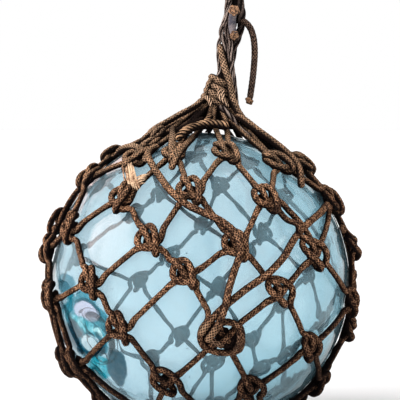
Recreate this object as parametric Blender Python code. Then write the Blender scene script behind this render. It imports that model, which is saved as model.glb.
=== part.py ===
"""Blown glass fishing float in its knotted rope net, with a lashed rope neck and a hanging loop.

Units are metres and +Z is up. The float stands on the rope ring under the net, whose flat underside is at
Z = 0 and centred on the origin. The front faces -Y. Longitudes run from the front towards +X and latitudes
from the equator up, both in degrees in the net's own frame, which leans a little towards +X above the
ball's middle because the neck was pulled to that side.
"""

import math
import random

import bmesh
import bpy
from mathutils import Matrix, Vector

# Driving sizes
BALL_RADIUS = 0.150
NET_ROPE = 0.007
LANYARD_ROPE = 0.0076
DRAWSTRING_ROPE = 0.0080
GAP = 0.0003
NET_CLEARANCE = 0.0008
ROPE_RADIUS = NET_ROPE / 2

# Foot ring, whose worn underside is flat
FOOT_RING_RADIUS = 0.026
FOOT_ROPE_RADIUS = 0.005
FOOT_WEAR = 0.0006
FOOT_SECTION_SIDES = 8
FOOT_STEPS = 16
FOOT_ROPE_HEIGHT = FOOT_ROPE_RADIUS - FOOT_WEAR
BALL_CENTRE = Vector((0, 0, FOOT_ROPE_HEIGHT + math.sqrt(
    (BALL_RADIUS + GAP + FOOT_ROPE_RADIUS) ** 2 - FOOT_RING_RADIUS ** 2)))

# Seal button that closes the blowing hole, low on the left of the front
SEAL_LONGITUDE, SEAL_LATITUDE = -45, -17
SEAL_RADIUS = 0.024
SEAL_HEIGHT = 0.003
BALL_STEPS = 28
SEAL_STATIONS = 4
BALL_STATIONS = 17

# Net
NET_LEAN = 5.0
LEAN_FADES_BETWEEN = (-66.0, -32.0)
MESHES_AROUND = 10
PITCH = 360 / MESHES_AROUND
FIRST_LONGITUDE = 10.0
ROW_LATITUDES = (54, 36, 18, 3, -13, -32, -50, -67)
HAND_WOBBLE = 1.5
ROPE_SIDES = 6
# Knots that the maker's hand or wear pulled out of line: (row, column) to degrees east and north
PULLED_KNOTS = {
    (0, -2): (16, -4), (0, -1): (2, 1), (0, 0): (-1, 4), (0, 1): (-2, 0), (0, 2): (5, 0),
    (1, -3): (6, 2), (1, -2): (6, -4), (1, -1): (0, 2), (1, 0): (-3, 1), (1, 1): (12, 1),
    (2, -2): (2, 0), (2, -1): (6, 0), (2, 0): (1, 1), (2, 1): (-2, -1), (2, 2): (3, 0),
    (3, -3): (0, 5), (3, -2): (3, -2), (3, -1): (2, 5), (3, 0): (0, 1), (3, 1): (8, -4),
    (4, -3): (2, 2), (4, -2): (-4, 5), (4, -1): (-2, 0), (4, 0): (-1, 1), (4, 1): (0, -3), (4, 2): (0, 1),
    (5, -3): (2, -3), (5, -2): (-13, 0), (5, -1): (-2, 0), (5, 0): (-3, -1), (5, 1): (14, -3),
    (1, -5): (-6, -5), (2, -5): (-10, 0), (2, -4): (-14, 3), (3, -5): (-15, 0), (3, -4): (-4, 0),
    (3, 3): (-6, 0), (3, 4): (-11, 5), (4, -5): (-18, 5), (4, -4): (-20, 5), (4, 3): (-4, 0), (4, 4): (-12, 2),
    (5, -5): (-21, 2), (5, -4): (-10, 0), (5, 3): (-6, 0), (5, 4): (-19, 4),
    (6, -5): (-20, 9), (6, -4): (-22, 9), (6, -3): (-8, 3), (6, 3): (-6, 4), (6, 4): (-12, 9),
    (7, -5): (-8, 0), (7, -4): (-8, 0), (7, 4): (-5, 0),
}
# Knots tied larger than the rest: (row, column) to how many times as wide
LARGE_KNOTS = {(4, 0): 1.6, (0, -2): 1.2}
# Bars that pass over something: (row, column, side) to the share of the way down and the height there
LIFTED_BARS = {(1, 0, 1): (0.70, 0.0138), (4, -1, 0): (0.5, 0.0062)}
KNOT_RADIUS = 0.0112
KNOT_THICKNESS = 0.0140
# Rings of a knot's rounded body: share of its radius, share of its thickness, and sides
CROWN_RINGS = ((1.0, 0.50, 6), (0.56, 1.0, 5))
KNOT_SPREAD = 0.0042
SOCKET_REACH = 0.0122
SOCKET_CLEARANCE = 0.0078

# Gather at the top and bottom, in the net's frame and measured from the ball's centre
TOP_LOOP_RADIUS = 0.0246
TOP_LOOP_HEIGHT = 0.1660
BOTTOM_LOOP_RADIUS = 0.0332
BOTTOM_LOOP_HEIGHT = -0.1507
LOOP_REACH = 0.0062

# Neck lashing: each turn's outer radius and its height above the ball's centre, along the leaning neck
LASHING_TURNS = ((0.0215, 0.1655), (0.0208, 0.1722), (0.0190, 0.1788), (0.0165, 0.1854), (0.0142, 0.1920),
                 (0.0126, 0.1984))
LASHING_STEPS = 14
LASHING_GROOVE = 0.0022
NECK_FOOT = Vector((0.0142, 0, 0.1620))
NECK_TOP = Vector((0.0235, 0, 0.2020))

# Lanyard: the doubled rope, twisted up the neck and opened into the hanging loop
LANYARD_TOP = Vector((0.0350, 0, 0.2860))
LEG_SPREAD = 0.0082
LEG_TURNS = 0.75
LEG_START = 0.0017
LOOP_HALF_WIDTH = 0.0165
LOOP_HALF_HEIGHT = 0.0240
LOOP_RISE = 0.0330
LOOP_LEAN = Vector((0.17, 0, 0.985)).normalized()

# Routes of the single ropes, as (longitude, latitude, height of the rope's middle above the glass in mm)
SLACK_ROUTE = (
    (-33.6, 55.5, 11.6), (-36.2, 54.4, 12.0), (-36.8, 52.2, 12.4), (-34.8, 49.4, 13.0), (-31.0, 46.8, 13.0),
    (-26.6, 44.0, 9.2), (-22.0, 41.0, 6.8), (-17.2, 37.0, 9.6), (-12.6, 33.4, 13.8), (-8.0, 31.0, 12.4),
    (-3.0, 29.4, 11.0), (1.8, 27.6, 12.6), (6.0, 25.2, 15.8), (9.4, 22.2, 18.8), (11.2, 18.8, 19.4),
    (11.4, 14.6, 17.0), (10.4, 10.4, 11.4), (9.2, 6.0, 9.2), (8.0, 1.0, 11.6), (7.2, -3.0, 14.8),
    (5.8, -7.0, 17.8), (4.0, -10.6, 18.6), (2.9, -12.6, 18.0),
)
CROSS_ROUTE = (
    (66.2, 35.6, 7.0), (62.0, 34.4, 6.0), (55.5, 32.2, 4.4), (48.0, 29.6, 3.9), (42.0, 26.8, 3.9),
    (36.8, 23.4, 4.0), (32.8, 19.8, 5.8), (29.4, 16.2, 8.8), (25.6, 12.9, 11.6), (22.0, 9.8, 12.6),
    (18.8, 7.2, 10.0), (15.4, 4.4, 6.2), (12.0, 1.5, 4.4), (8.8, -1.0, 4.4), (5.6, -2.8, 8.4),
    (3.2, -4.6, 12.8), (1.4, -7.4, 16.0), (0.3, -10.6, 16.6),
)
SHOULDER_ROUTE = (
    (47.0, 80.3, 19.8), (44.0, 78.6, 21.0), (42.0, 76.6, 21.8), (41.4, 74.4, 21.4), (41.8, 72.0, 20.4),
    (43.6, 69.2, 18.8), (46.6, 66.6, 17.4), (49.6, 64.0, 16.2), (52.2, 61.2, 15.2), (54.0, 58.4, 14.4),
    (54.8, 55.6, 14.0), (54.8, 52.8, 13.6), (54.0, 50.2, 13.0), (52.8, 47.6, 11.2), (51.6, 45.0, 8.4),
    (50.4, 42.6, 5.8),
)
DRAWSTRING_ROUTE = (
    (-24.6, 59.2, 14.0), (-23.4, 61.4, 16.0), (-21.2, 64.4, 17.2), (-17.5, 67.4, 17.4), (-12.6, 69.8, 17.4),
    (-6.4, 71.2, 17.6), (0.8, 71.7, 17.8), (8.2, 71.3, 17.6), (14.8, 70.4, 17.2),
)
# Route of the loose tail, from the ball's centre
TAIL_ROUTE = (
    (0.0432, -0.0005, 0.2650), (0.0456, -0.0008, 0.2650), (0.0482, -0.0011, 0.2638),
    (0.0504, -0.0014, 0.2622), (0.0526, -0.0018, 0.2598), (0.0543, -0.0022, 0.2562),
    (0.0556, -0.0027, 0.2510), (0.0558, -0.0031, 0.2440), (0.0555, -0.0034, 0.2360),
    (0.0549, -0.0036, 0.2280), (0.0543, -0.0037, 0.2200), (0.0536, -0.0037, 0.2120),
    (0.0528, -0.0036, 0.2040), (0.0519, -0.0034, 0.1960), (0.0507, -0.0030, 0.1880),
    (0.0500, -0.0028, 0.1825),
)
TAIL_DIAMETER = 0.0064


# ---------------------------------------------------------------- places on the ball

def net_axes(latitude):
    """The net frame's turn at a latitude: it leans towards +X, and not at all near the foot."""
    low, high = LEAN_FADES_BETWEEN
    share = min(max((latitude - low) / (high - low), 0.0), 1.0)
    return Matrix.Rotation(math.radians(NET_LEAN) * share, 3, "Y")


def around(longitude, radius, height, latitude=90.0):
    """A point at a radius from the net's axis and a height above the ball's centre."""
    turn = math.radians(longitude)
    return BALL_CENTRE + net_axes(latitude) @ Vector(
        (radius * math.sin(turn), -radius * math.cos(turn), height))


def on_ball(longitude, latitude, height=0.0):
    """A point above the glass, at a longitude and latitude of the net."""
    rise = math.radians(latitude)
    reach = BALL_RADIUS + height
    return around(longitude, reach * math.cos(rise), reach * math.sin(rise), latitude)


def outward(point):
    """The direction from the ball's centre through a point."""
    return (point - BALL_CENTRE).normalized()


def knot_direction(row, column):
    """The direction of a knot from the ball's centre, with the small scatter of hand work."""
    column = (column + MESHES_AROUND // 2) % MESHES_AROUND - MESHES_AROUND // 2
    scatter = random.Random(100 * row + column)
    east, north = scatter.uniform(-HAND_WOBBLE, HAND_WOBBLE), scatter.uniform(-HAND_WOBBLE, HAND_WOBBLE)
    if (row, column) in PULLED_KNOTS:
        east, north = PULLED_KNOTS[row, column]
    longitude = FIRST_LONGITUDE + PITCH * (column + 0.5 * (row % 2)) + east
    return outward(on_ball(longitude, ROW_LATITUDES[row] + north))


def knot_below(row, column, side):
    """Row and column of the knot below on the left (side 0) or on the right (side 1)."""
    return row + 1, column + side - (0 if row % 2 else 1)


# ---------------------------------------------------------------- net

class Lump:
    """One knot or end loop of the net: where it sits and the sockets that its bars leave from."""

    def __init__(self, place, radius, reach):
        self.place, self.radius, self.reach = place, radius, reach
        self.bars = []
        self.sockets = {}

    def attach(self, side):
        """Where a bar is tied in: on the left (-1) or right (1) of a knot, in the middle of an end loop."""
        east = Vector((0, 0, 1)).cross(outward(self.place)).normalized()
        return self.place + east * (side * KNOT_SPREAD if self.radius else 0.0)

    def socket(self, start, along, reach):
        """The middle of a bar's socket, which lies on a sphere round the lump's middle."""
        return self.place + (start + along * reach - self.place).normalized() * reach

    def socket_reach(self):
        """How far out the sockets sit, so that neighbouring ones stand clear of each other."""
        reach = self.reach
        pairs = [(a, b) for a in self.bars for b in self.bars if a is not b]
        while any((self.socket(*a, reach) - self.socket(*b, reach)).length < SOCKET_CLEARANCE
                  for a, b in pairs):
            reach += ROPE_RADIUS / 4
        return reach


class Bar:
    """A straight stretch of rope between two lumps, lifted where something lies under it."""

    def __init__(self, first, last, side, lifted_at=None):
        self.first, self.last, self.lifted_at = first, last, lifted_at
        start, end = first.attach(side), last.attach(-side)
        if first.radius and last.radius:
            half = outward(start).angle(outward(end)) / 2
            lifted = (BALL_RADIUS + NET_CLEARANCE + ROPE_RADIUS) / math.cos(half)
            start, end = (BALL_CENTRE + outward(p) * lifted for p in (start, end))
        self.along = (end - start).normalized()
        self.ties = (first, (start, self.along)), (last, (end, -self.along))
        for lump, tie in self.ties:
            lump.bars.append(tie)

    def section(self, bm, centre, along):
        """A six-sided rope section round a point, as a closed ring of vertices."""
        up = outward(centre)
        side = along.cross(up).normalized()
        up = side.cross(along)
        turns = (2 * math.pi * (k + 0.5) / ROPE_SIDES for k in range(ROPE_SIDES))
        return [bm.verts.new(centre + ROPE_RADIUS * (side * math.cos(t) + up * math.sin(t))) for t in turns]

    def place_sockets(self, bm):
        """Make the ring of vertices at each end, square to its lump, and the lifted one between them."""
        centres = [lump.socket(*tie, lump.socket_reach()) for lump, tie in self.ties]
        self.rings = [self.section(bm, centres[0], (centres[0] - self.first.place).normalized()),
                      self.section(bm, centres[1], (self.last.place - centres[1]).normalized())]
        self.first.sockets[self], self.last.sockets[self] = self.rings
        if self.lifted_at:
            share, height = self.lifted_at
            over = BALL_CENTRE + outward(centres[0].lerp(centres[1], share)) * (BALL_RADIUS + height)
            self.rings.insert(1, self.section(bm, over, self.along))

    def bridge(self, bm):
        """Join the bar's rings with faces."""
        for ring, after in zip(self.rings, self.rings[1:]):
            for k in range(ROPE_SIDES):
                j = (k + 1) % ROPE_SIDES
                bm.faces.new((ring[k], ring[j], after[j], after[k]))


def crown(bm, lump, thickness):
    """The rounded body of a knot: two rings of vertices that stand on the glass and bulge over it."""
    up = outward(lump.place)
    across = up.cross(Vector((0, 0, 1))).normalized()
    along = up.cross(across)
    verts = []
    for share, height, sides in CROWN_RINGS:
        for k in range(sides):
            turn = 2 * math.pi * (k + 0.5) / sides
            flat = lump.radius * share * (across * math.cos(turn) + along * math.sin(turn))
            base = BALL_CENTRE + up * (BALL_RADIUS + thickness * height)
            verts.append(bm.verts.new(base + flat))
    return verts


def close_lump(bm, lump, extra):
    """Wrap a lump's sockets and body in one convex skin, left open at each socket."""
    verts = [v for ring in lump.sockets.values() for v in ring] + extra
    made = bmesh.ops.convex_hull(bm, input=verts)
    bmesh.ops.delete(bm, geom=[v for v in made["geom_interior"] if isinstance(v, bmesh.types.BMVert)],
                     context="VERTS")
    for ring in lump.sockets.values():
        caps = {f for v in ring for f in v.link_faces if set(f.verts) <= set(ring)}
        bmesh.ops.delete(bm, geom=list(caps), context="FACES_KEEP_BOUNDARY")
        loose = {e for v in ring for e in v.link_edges if e.is_wire}
        bmesh.ops.delete(bm, geom=list(loose), context="EDGES")


def nose(bm, place, towards):
    """The closed end of an end loop, which bears on the ring or the lashing."""
    up = Vector((0, 0, 1))
    side = towards.cross(up).normalized()
    up = side.cross(towards)
    turns = (2 * math.pi * (k + 0.5) / ROPE_SIDES for k in range(ROPE_SIDES))
    return [bm.verts.new(place + towards * ROPE_RADIUS * 0.6
                         + ROPE_RADIUS * 0.8 * (side * math.cos(t) + up * math.sin(t))) for t in turns]


def rope_net(material):
    """The whole net as one closed body: knots, bars and the two rows of end loops."""
    bm = bmesh.new()
    columns = range(-(MESHES_AROUND // 2), MESHES_AROUND // 2)
    last_row = len(ROW_LATITUDES) - 1
    knots = {}
    for row in range(len(ROW_LATITUDES)):
        for column in columns:
            scale = LARGE_KNOTS.get((row, column), 1.0)
            place = BALL_CENTRE + knot_direction(row, column) * (BALL_RADIUS + KNOT_THICKNESS / 2)
            knots[row, column] = Lump(place, KNOT_RADIUS * scale, SOCKET_REACH * scale)

    def wrap(column):
        return (column + MESHES_AROUND // 2) % MESHES_AROUND - MESHES_AROUND // 2

    bars = []
    for (row, column), knot in knots.items():
        if row == last_row:
            continue
        for side in (0, 1):
            below_row, below_column = knot_below(row, column, side)
            below = knots[below_row, wrap(below_column)]
            bars.append(Bar(knot, below, 2 * side - 1, LIFTED_BARS.get((row, column, side))))

    loops = []
    for column in columns:
        top = around(FIRST_LONGITUDE + PITCH * (column + 0.5), TOP_LOOP_RADIUS, TOP_LOOP_HEIGHT)
        top_loop = Lump(top, 0.0, LOOP_REACH)
        bars += [Bar(top_loop, knots[0, column], -1), Bar(top_loop, knots[0, wrap(column + 1)], 1)]
        bottom = around(FIRST_LONGITUDE + PITCH * column, BOTTOM_LOOP_RADIUS, BOTTOM_LOOP_HEIGHT,
                        ROW_LATITUDES[-1])
        bottom_loop = Lump(bottom, 0.0, LOOP_REACH)
        bars += [Bar(knots[last_row, wrap(column - 1)], bottom_loop, 1),
                 Bar(knots[last_row, column], bottom_loop, -1)]
        loops += [top_loop, bottom_loop]

    for bar in bars:
        bar.place_sockets(bm)
    for knot in knots.values():
        close_lump(bm, knot, crown(bm, knot, KNOT_THICKNESS))
    for loop in loops:
        inward = -(loop.bars[0][1] + loop.bars[1][1]).normalized()
        close_lump(bm, loop, nose(bm, loop.place, inward))
    for bar in bars:
        bar.bridge(bm)
    return finish(bm, "rope_net", material)


# ---------------------------------------------------------------- glass

def glass_ball(material):
    """The blown ball with its seal button, turned about the line through the button."""
    bm = bmesh.new()
    seal_edge = SEAL_RADIUS / BALL_RADIUS
    seal_angles = [seal_edge * k / SEAL_STATIONS for k in range(SEAL_STATIONS)]
    ball_angles = [seal_edge + (math.pi - seal_edge) * k / BALL_STATIONS for k in range(BALL_STATIONS + 1)]
    profile = []
    for angle in seal_angles + ball_angles:
        share = min(angle / seal_edge, 1.0)
        radius = BALL_RADIUS + SEAL_HEIGHT * (1 - share * share * (3 - 2 * share))
        profile.append(bm.verts.new((radius * math.sin(angle), 0, radius * math.cos(angle))))
    edges = [bm.edges.new(pair) for pair in zip(profile, profile[1:])]
    bmesh.ops.spin(bm, geom=profile + edges, cent=(0, 0, 0), axis=(0, 0, 1), angle=2 * math.pi,
                   steps=BALL_STEPS, use_merge=True)
    bmesh.ops.remove_doubles(bm, verts=bm.verts[:], dist=1e-6)
    axis = outward(on_ball(SEAL_LONGITUDE, SEAL_LATITUDE))
    turn = Vector((0, 0, 1)).rotation_difference(axis).to_matrix()
    bmesh.ops.rotate(bm, verts=bm.verts[:], cent=(0, 0, 0), matrix=turn)
    bmesh.ops.translate(bm, verts=bm.verts[:], vec=BALL_CENTRE)
    return finish(bm, "glass_ball", material)


# ---------------------------------------------------------------- foot and neck

def foot_ring(material):
    """The rope ring under the net, with its underside worn flat."""
    bm = bmesh.new()
    ring = []
    for k in range(FOOT_SECTION_SIDES):
        turn = 2 * math.pi * (k + 0.5) / FOOT_SECTION_SIDES
        height = max(FOOT_ROPE_HEIGHT + FOOT_ROPE_RADIUS * math.sin(turn), 0.0)
        ring.append(bm.verts.new((FOOT_RING_RADIUS + FOOT_ROPE_RADIUS * math.cos(turn), 0, height)))
    edges = [bm.edges.new((ring[k], ring[(k + 1) % len(ring)])) for k in range(len(ring))]
    bmesh.ops.spin(bm, geom=ring + edges, cent=(0, 0, 0), axis=(0, 0, 1), angle=2 * math.pi,
                   steps=FOOT_STEPS, use_merge=True)
    bmesh.ops.remove_doubles(bm, verts=bm.verts[:], dist=1e-6)
    return finish(bm, "foot_ring", material)


def neck_lashing(material):
    """The turns of rope bound round the gathered net, as one ribbed and leaning cone."""
    bm = bmesh.new()
    lean = (NECK_TOP - NECK_FOOT).normalized()
    profile = [(0.0, NECK_FOOT.z)]
    for radius, height in LASHING_TURNS:
        rise = ROPE_RADIUS - 0.0003
        profile += [(radius - LASHING_GROOVE, height - rise), (radius, height)]
    profile += [(LASHING_TURNS[-1][0] - LASHING_GROOVE, NECK_TOP.z), (0.0, NECK_TOP.z)]
    profile[1] = (profile[1][0], NECK_FOOT.z)
    verts = [bm.verts.new((radius, 0, height - NECK_FOOT.z)) for radius, height in profile]
    edges = [bm.edges.new(pair) for pair in zip(verts, verts[1:])]
    bmesh.ops.spin(bm, geom=verts + edges, cent=(0, 0, 0), axis=(0, 0, 1), angle=2 * math.pi,
                   steps=LASHING_STEPS, use_merge=True)
    bmesh.ops.remove_doubles(bm, verts=bm.verts[:], dist=1e-6)
    for vert in bm.verts:
        vert.co += Vector((lean.x / lean.z * vert.co.z, 0, 0))
    bmesh.ops.translate(bm, verts=bm.verts[:], vec=BALL_CENTRE + NECK_FOOT)
    return finish(bm, "neck_lashing", material)


def lanyard_route():
    """The doubled rope's middle line: up one twisted leg, round the hanging loop and down the other."""
    foot = NECK_TOP + Vector((0, 0, LEG_START))
    steps = 14

    def leg(phase):
        points = []
        for k in range(steps):
            share = k / (steps - 1)
            turn = phase + 2 * math.pi * LEG_TURNS * (share - 1)
            middle = foot.lerp(LANYARD_TOP, share)
            points.append(middle + LEG_SPREAD / 2 * Vector((math.cos(turn), math.sin(turn), 0)))
        return points

    rise = LOOP_LEAN
    across = Vector((rise.z, 0, -rise.x))
    loop = []
    for k in range(13):
        turn = math.radians(232 - 284 * k / 12)
        loop.append(LANYARD_TOP + across * LOOP_HALF_WIDTH * math.cos(turn)
                    + rise * (LOOP_RISE + LOOP_HALF_HEIGHT * math.sin(turn)))
    return [BALL_CENTRE + p for p in leg(math.pi) + loop + leg(0.0)[::-1]]


# ---------------------------------------------------------------- ropes along a route

def smooth(points, spacing):
    """Evenly spaced points along a smooth curve through a route's own points."""
    ends = [2 * points[0] - points[1]] + list(points) + [2 * points[-1] - points[-2]]
    fine = []
    for before, start, end, after in zip(ends, ends[1:], ends[2:], ends[3:]):
        for k in range(12):
            t = k / 12
            fine.append(0.5 * (2 * start + (end - before) * t
                               + (2 * before - 5 * start + 4 * end - after) * t ** 2
                               + (3 * start - before - 3 * end + after) * t ** 3))
    fine.append(points[-1].copy())
    lengths = [0.0]
    for one, other in zip(fine, fine[1:]):
        lengths.append(lengths[-1] + (other - one).length)
    count = max(2, round(lengths[-1] / spacing))
    even, at = [], 0
    for k in range(count + 1):
        wanted = lengths[-1] * k / count
        while at < len(fine) - 2 and lengths[at + 1] < wanted:
            at += 1
        share = (wanted - lengths[at]) / max(lengths[at + 1] - lengths[at], 1e-9)
        even.append(fine[at].lerp(fine[at + 1], min(share, 1.0)))
    return even


def rope_tube(name, points, diameter, spacing, material):
    """A rope as a round tube with flat ends, along a smooth curve through its route."""
    curve = bpy.data.curves.new(name, "CURVE")
    curve.dimensions = "3D"
    curve.bevel_depth = diameter / 2
    curve.bevel_resolution = 2
    curve.use_fill_caps = True
    curve.materials.append(material)
    spline = curve.splines.new("POLY")
    even = smooth(points, spacing)
    spline.points.add(len(even) - 1)
    for point, place in zip(spline.points, even):
        point.co = (*place, 1.0)
    return keep(bpy.data.objects.new(name, curve))


# ---------------------------------------------------------------- objects and materials

def keep(obj):
    """Add an object to the scene."""
    bpy.context.scene.collection.objects.link(obj)
    return obj


def finish(bm, name, material):
    """Turn a bmesh into a named object with its faces outwards and its round parts smooth."""
    bmesh.ops.recalc_face_normals(bm, faces=bm.faces[:])
    mesh = bpy.data.meshes.new(name)
    bm.to_mesh(mesh)
    bm.free()
    mesh.materials.append(material)
    mesh.shade_smooth()
    mesh.set_sharp_from_angle(angle=math.radians(50))
    return keep(bpy.data.objects.new(name, mesh))


def plain_material(name, colour, roughness, transmission=0.0):
    """A Principled material with one colour."""
    material = bpy.data.materials.new(name)
    material.use_nodes = True
    shader = next(n for n in material.node_tree.nodes if n.type == "BSDF_PRINCIPLED")
    shader.inputs["Base Color"].default_value = (*colour, 1.0)
    shader.inputs["Roughness"].default_value = roughness
    shader.inputs["Metallic"].default_value = 0.0
    shader.inputs["Transmission Weight"].default_value = transmission
    return material


def main():
    """Build the float, its net and its ropes."""
    for obj in list(bpy.data.objects):
        bpy.data.objects.remove(obj, do_unlink=True)
    glass = plain_material("aqua_glass", (0.50, 0.78, 0.84), 0.05, transmission=1.0)
    net_fibre = plain_material("net_rope", (0.17, 0.085, 0.045), 0.9)
    lanyard_fibre = plain_material("lanyard_rope", (0.16, 0.11, 0.085), 0.9)

    glass_ball(glass)
    rope_net(net_fibre)
    foot_ring(net_fibre)
    neck_lashing(net_fibre)
    rope_tube("lanyard", lanyard_route(), LANYARD_ROPE, 0.0060, lanyard_fibre)
    routes = {
        "drawstring": (DRAWSTRING_ROUTE, DRAWSTRING_ROPE),
        "slack_rope": (SLACK_ROUTE, NET_ROPE),
        "cross_rope": (CROSS_ROUTE, NET_ROPE),
        "shoulder_rope": (SHOULDER_ROUTE, NET_ROPE),
    }
    for name, (route, diameter) in routes.items():
        points = [on_ball(east, north, height / 1000) for east, north, height in route]
        rope_tube(name, points, diameter, 2.0 * diameter, net_fibre)
    tail = [BALL_CENTRE + Vector(point) for point in TAIL_ROUTE]
    rope_tube("rope_tail", tail, TAIL_DIAMETER, 2.0 * TAIL_DIAMETER, lanyard_fibre)


main()
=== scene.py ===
"""The looks of a blown glass fishing float in its knotted rope net.

Each sub-assembly is a class that builds its pieces and dresses them: the glass, the net with its knots, the
rope foot, the lashed neck, the hanging rope and the loose ropes. Sizes are in metres; a Point of a strand's
route is in millimetres from the ball's centre. +Z is up and the front faces -Y. Longitudes run from the front
towards +X and latitudes up, in degrees in the net's own frame.
"""

import logging
import math
import random
from dataclasses import dataclass, field
from enum import Enum
from functools import cache

import bmesh
import bpy
import numpy as np
from bmesh.types import BMesh
from bpy.types import Light, Material, Node, NodeOutputs, NodeSocket, NodeTree, Object
from mathutils import Matrix, Vector, noise


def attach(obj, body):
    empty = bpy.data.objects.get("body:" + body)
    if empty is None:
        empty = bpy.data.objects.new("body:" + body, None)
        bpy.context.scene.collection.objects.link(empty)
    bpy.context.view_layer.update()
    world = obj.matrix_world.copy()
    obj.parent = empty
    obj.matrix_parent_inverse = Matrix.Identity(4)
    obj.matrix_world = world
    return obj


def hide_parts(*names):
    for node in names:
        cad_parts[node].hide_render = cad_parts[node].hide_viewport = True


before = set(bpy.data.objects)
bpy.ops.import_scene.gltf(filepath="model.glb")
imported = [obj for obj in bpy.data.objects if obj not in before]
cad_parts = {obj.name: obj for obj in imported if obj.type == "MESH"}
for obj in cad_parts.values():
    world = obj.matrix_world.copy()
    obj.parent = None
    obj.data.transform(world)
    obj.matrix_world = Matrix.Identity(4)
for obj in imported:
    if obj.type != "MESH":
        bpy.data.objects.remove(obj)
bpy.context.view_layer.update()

LOG = logging.getLogger("float")

MM = 0.001
FULL_TURN = 2 * math.pi
UP = Vector((0, 0, 1))
Point = tuple[float, float, float]
Pair = tuple[float, float]
Spot = tuple[int, int]
Route = tuple[Point, ...]

# The neck's middle line: over what height above the ball it takes over from the ball's centre, where it would
# meet the centre's level, and its lean towards +X
NECK_RISE, NECK_ROOT, NECK_LEAN = 0.035, -0.0054, 0.14
# The net's hidden half: where its rope starts to thin, over what depth, up to what height, and by how much
BACK_FROM, BACK_BLEND, BACK_TOP, BACK_THINNING = 0.040, 0.040, 0.300, 0.22
# The bars between knots: how far from a knot they begin and over what length they draw out, in mm
KNOT_REACH, KNOT_BLEND = 13.0, 8.0
# How many points a smooth line gets between two points of its route, before it is spaced evenly
FINE_STEPS = 12
# A laid rope's strands: how far their valleys lie below its size and how far they stand up, in reliefs
STRAND_INSET, STRAND_RISE = 2.0, 2.6
# A rope's ends: the least squared share of a round one, and a pointed one's length in diameters and its tip
ROUND_TIP, POINT_REACH, POINT_TIP = 0.01, 3.0, 0.06
# How fast a spot of wear, painted light or painted shade gains strength from its edge inwards
SPOT_EDGE = 1.5
# The noise between which a mask of patches or flecks runs from 0 to 1
MASK_FROM: Pair = (0.35, 0.65)
# How much of the painted light the inner side keeps on a rope that is lit all round, so that its painted
# shade stays faint
INNER_PAINTED_LIGHT = 0.62
# Where the seam of a tube's flat sheet is, on its x from -1 to 1, and how near points have to be to merge
SEAM_FROM, MERGE_DISTANCE = 0.999, 1e-6


# ---------------------------------------------------------------- the plan of the net

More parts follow.
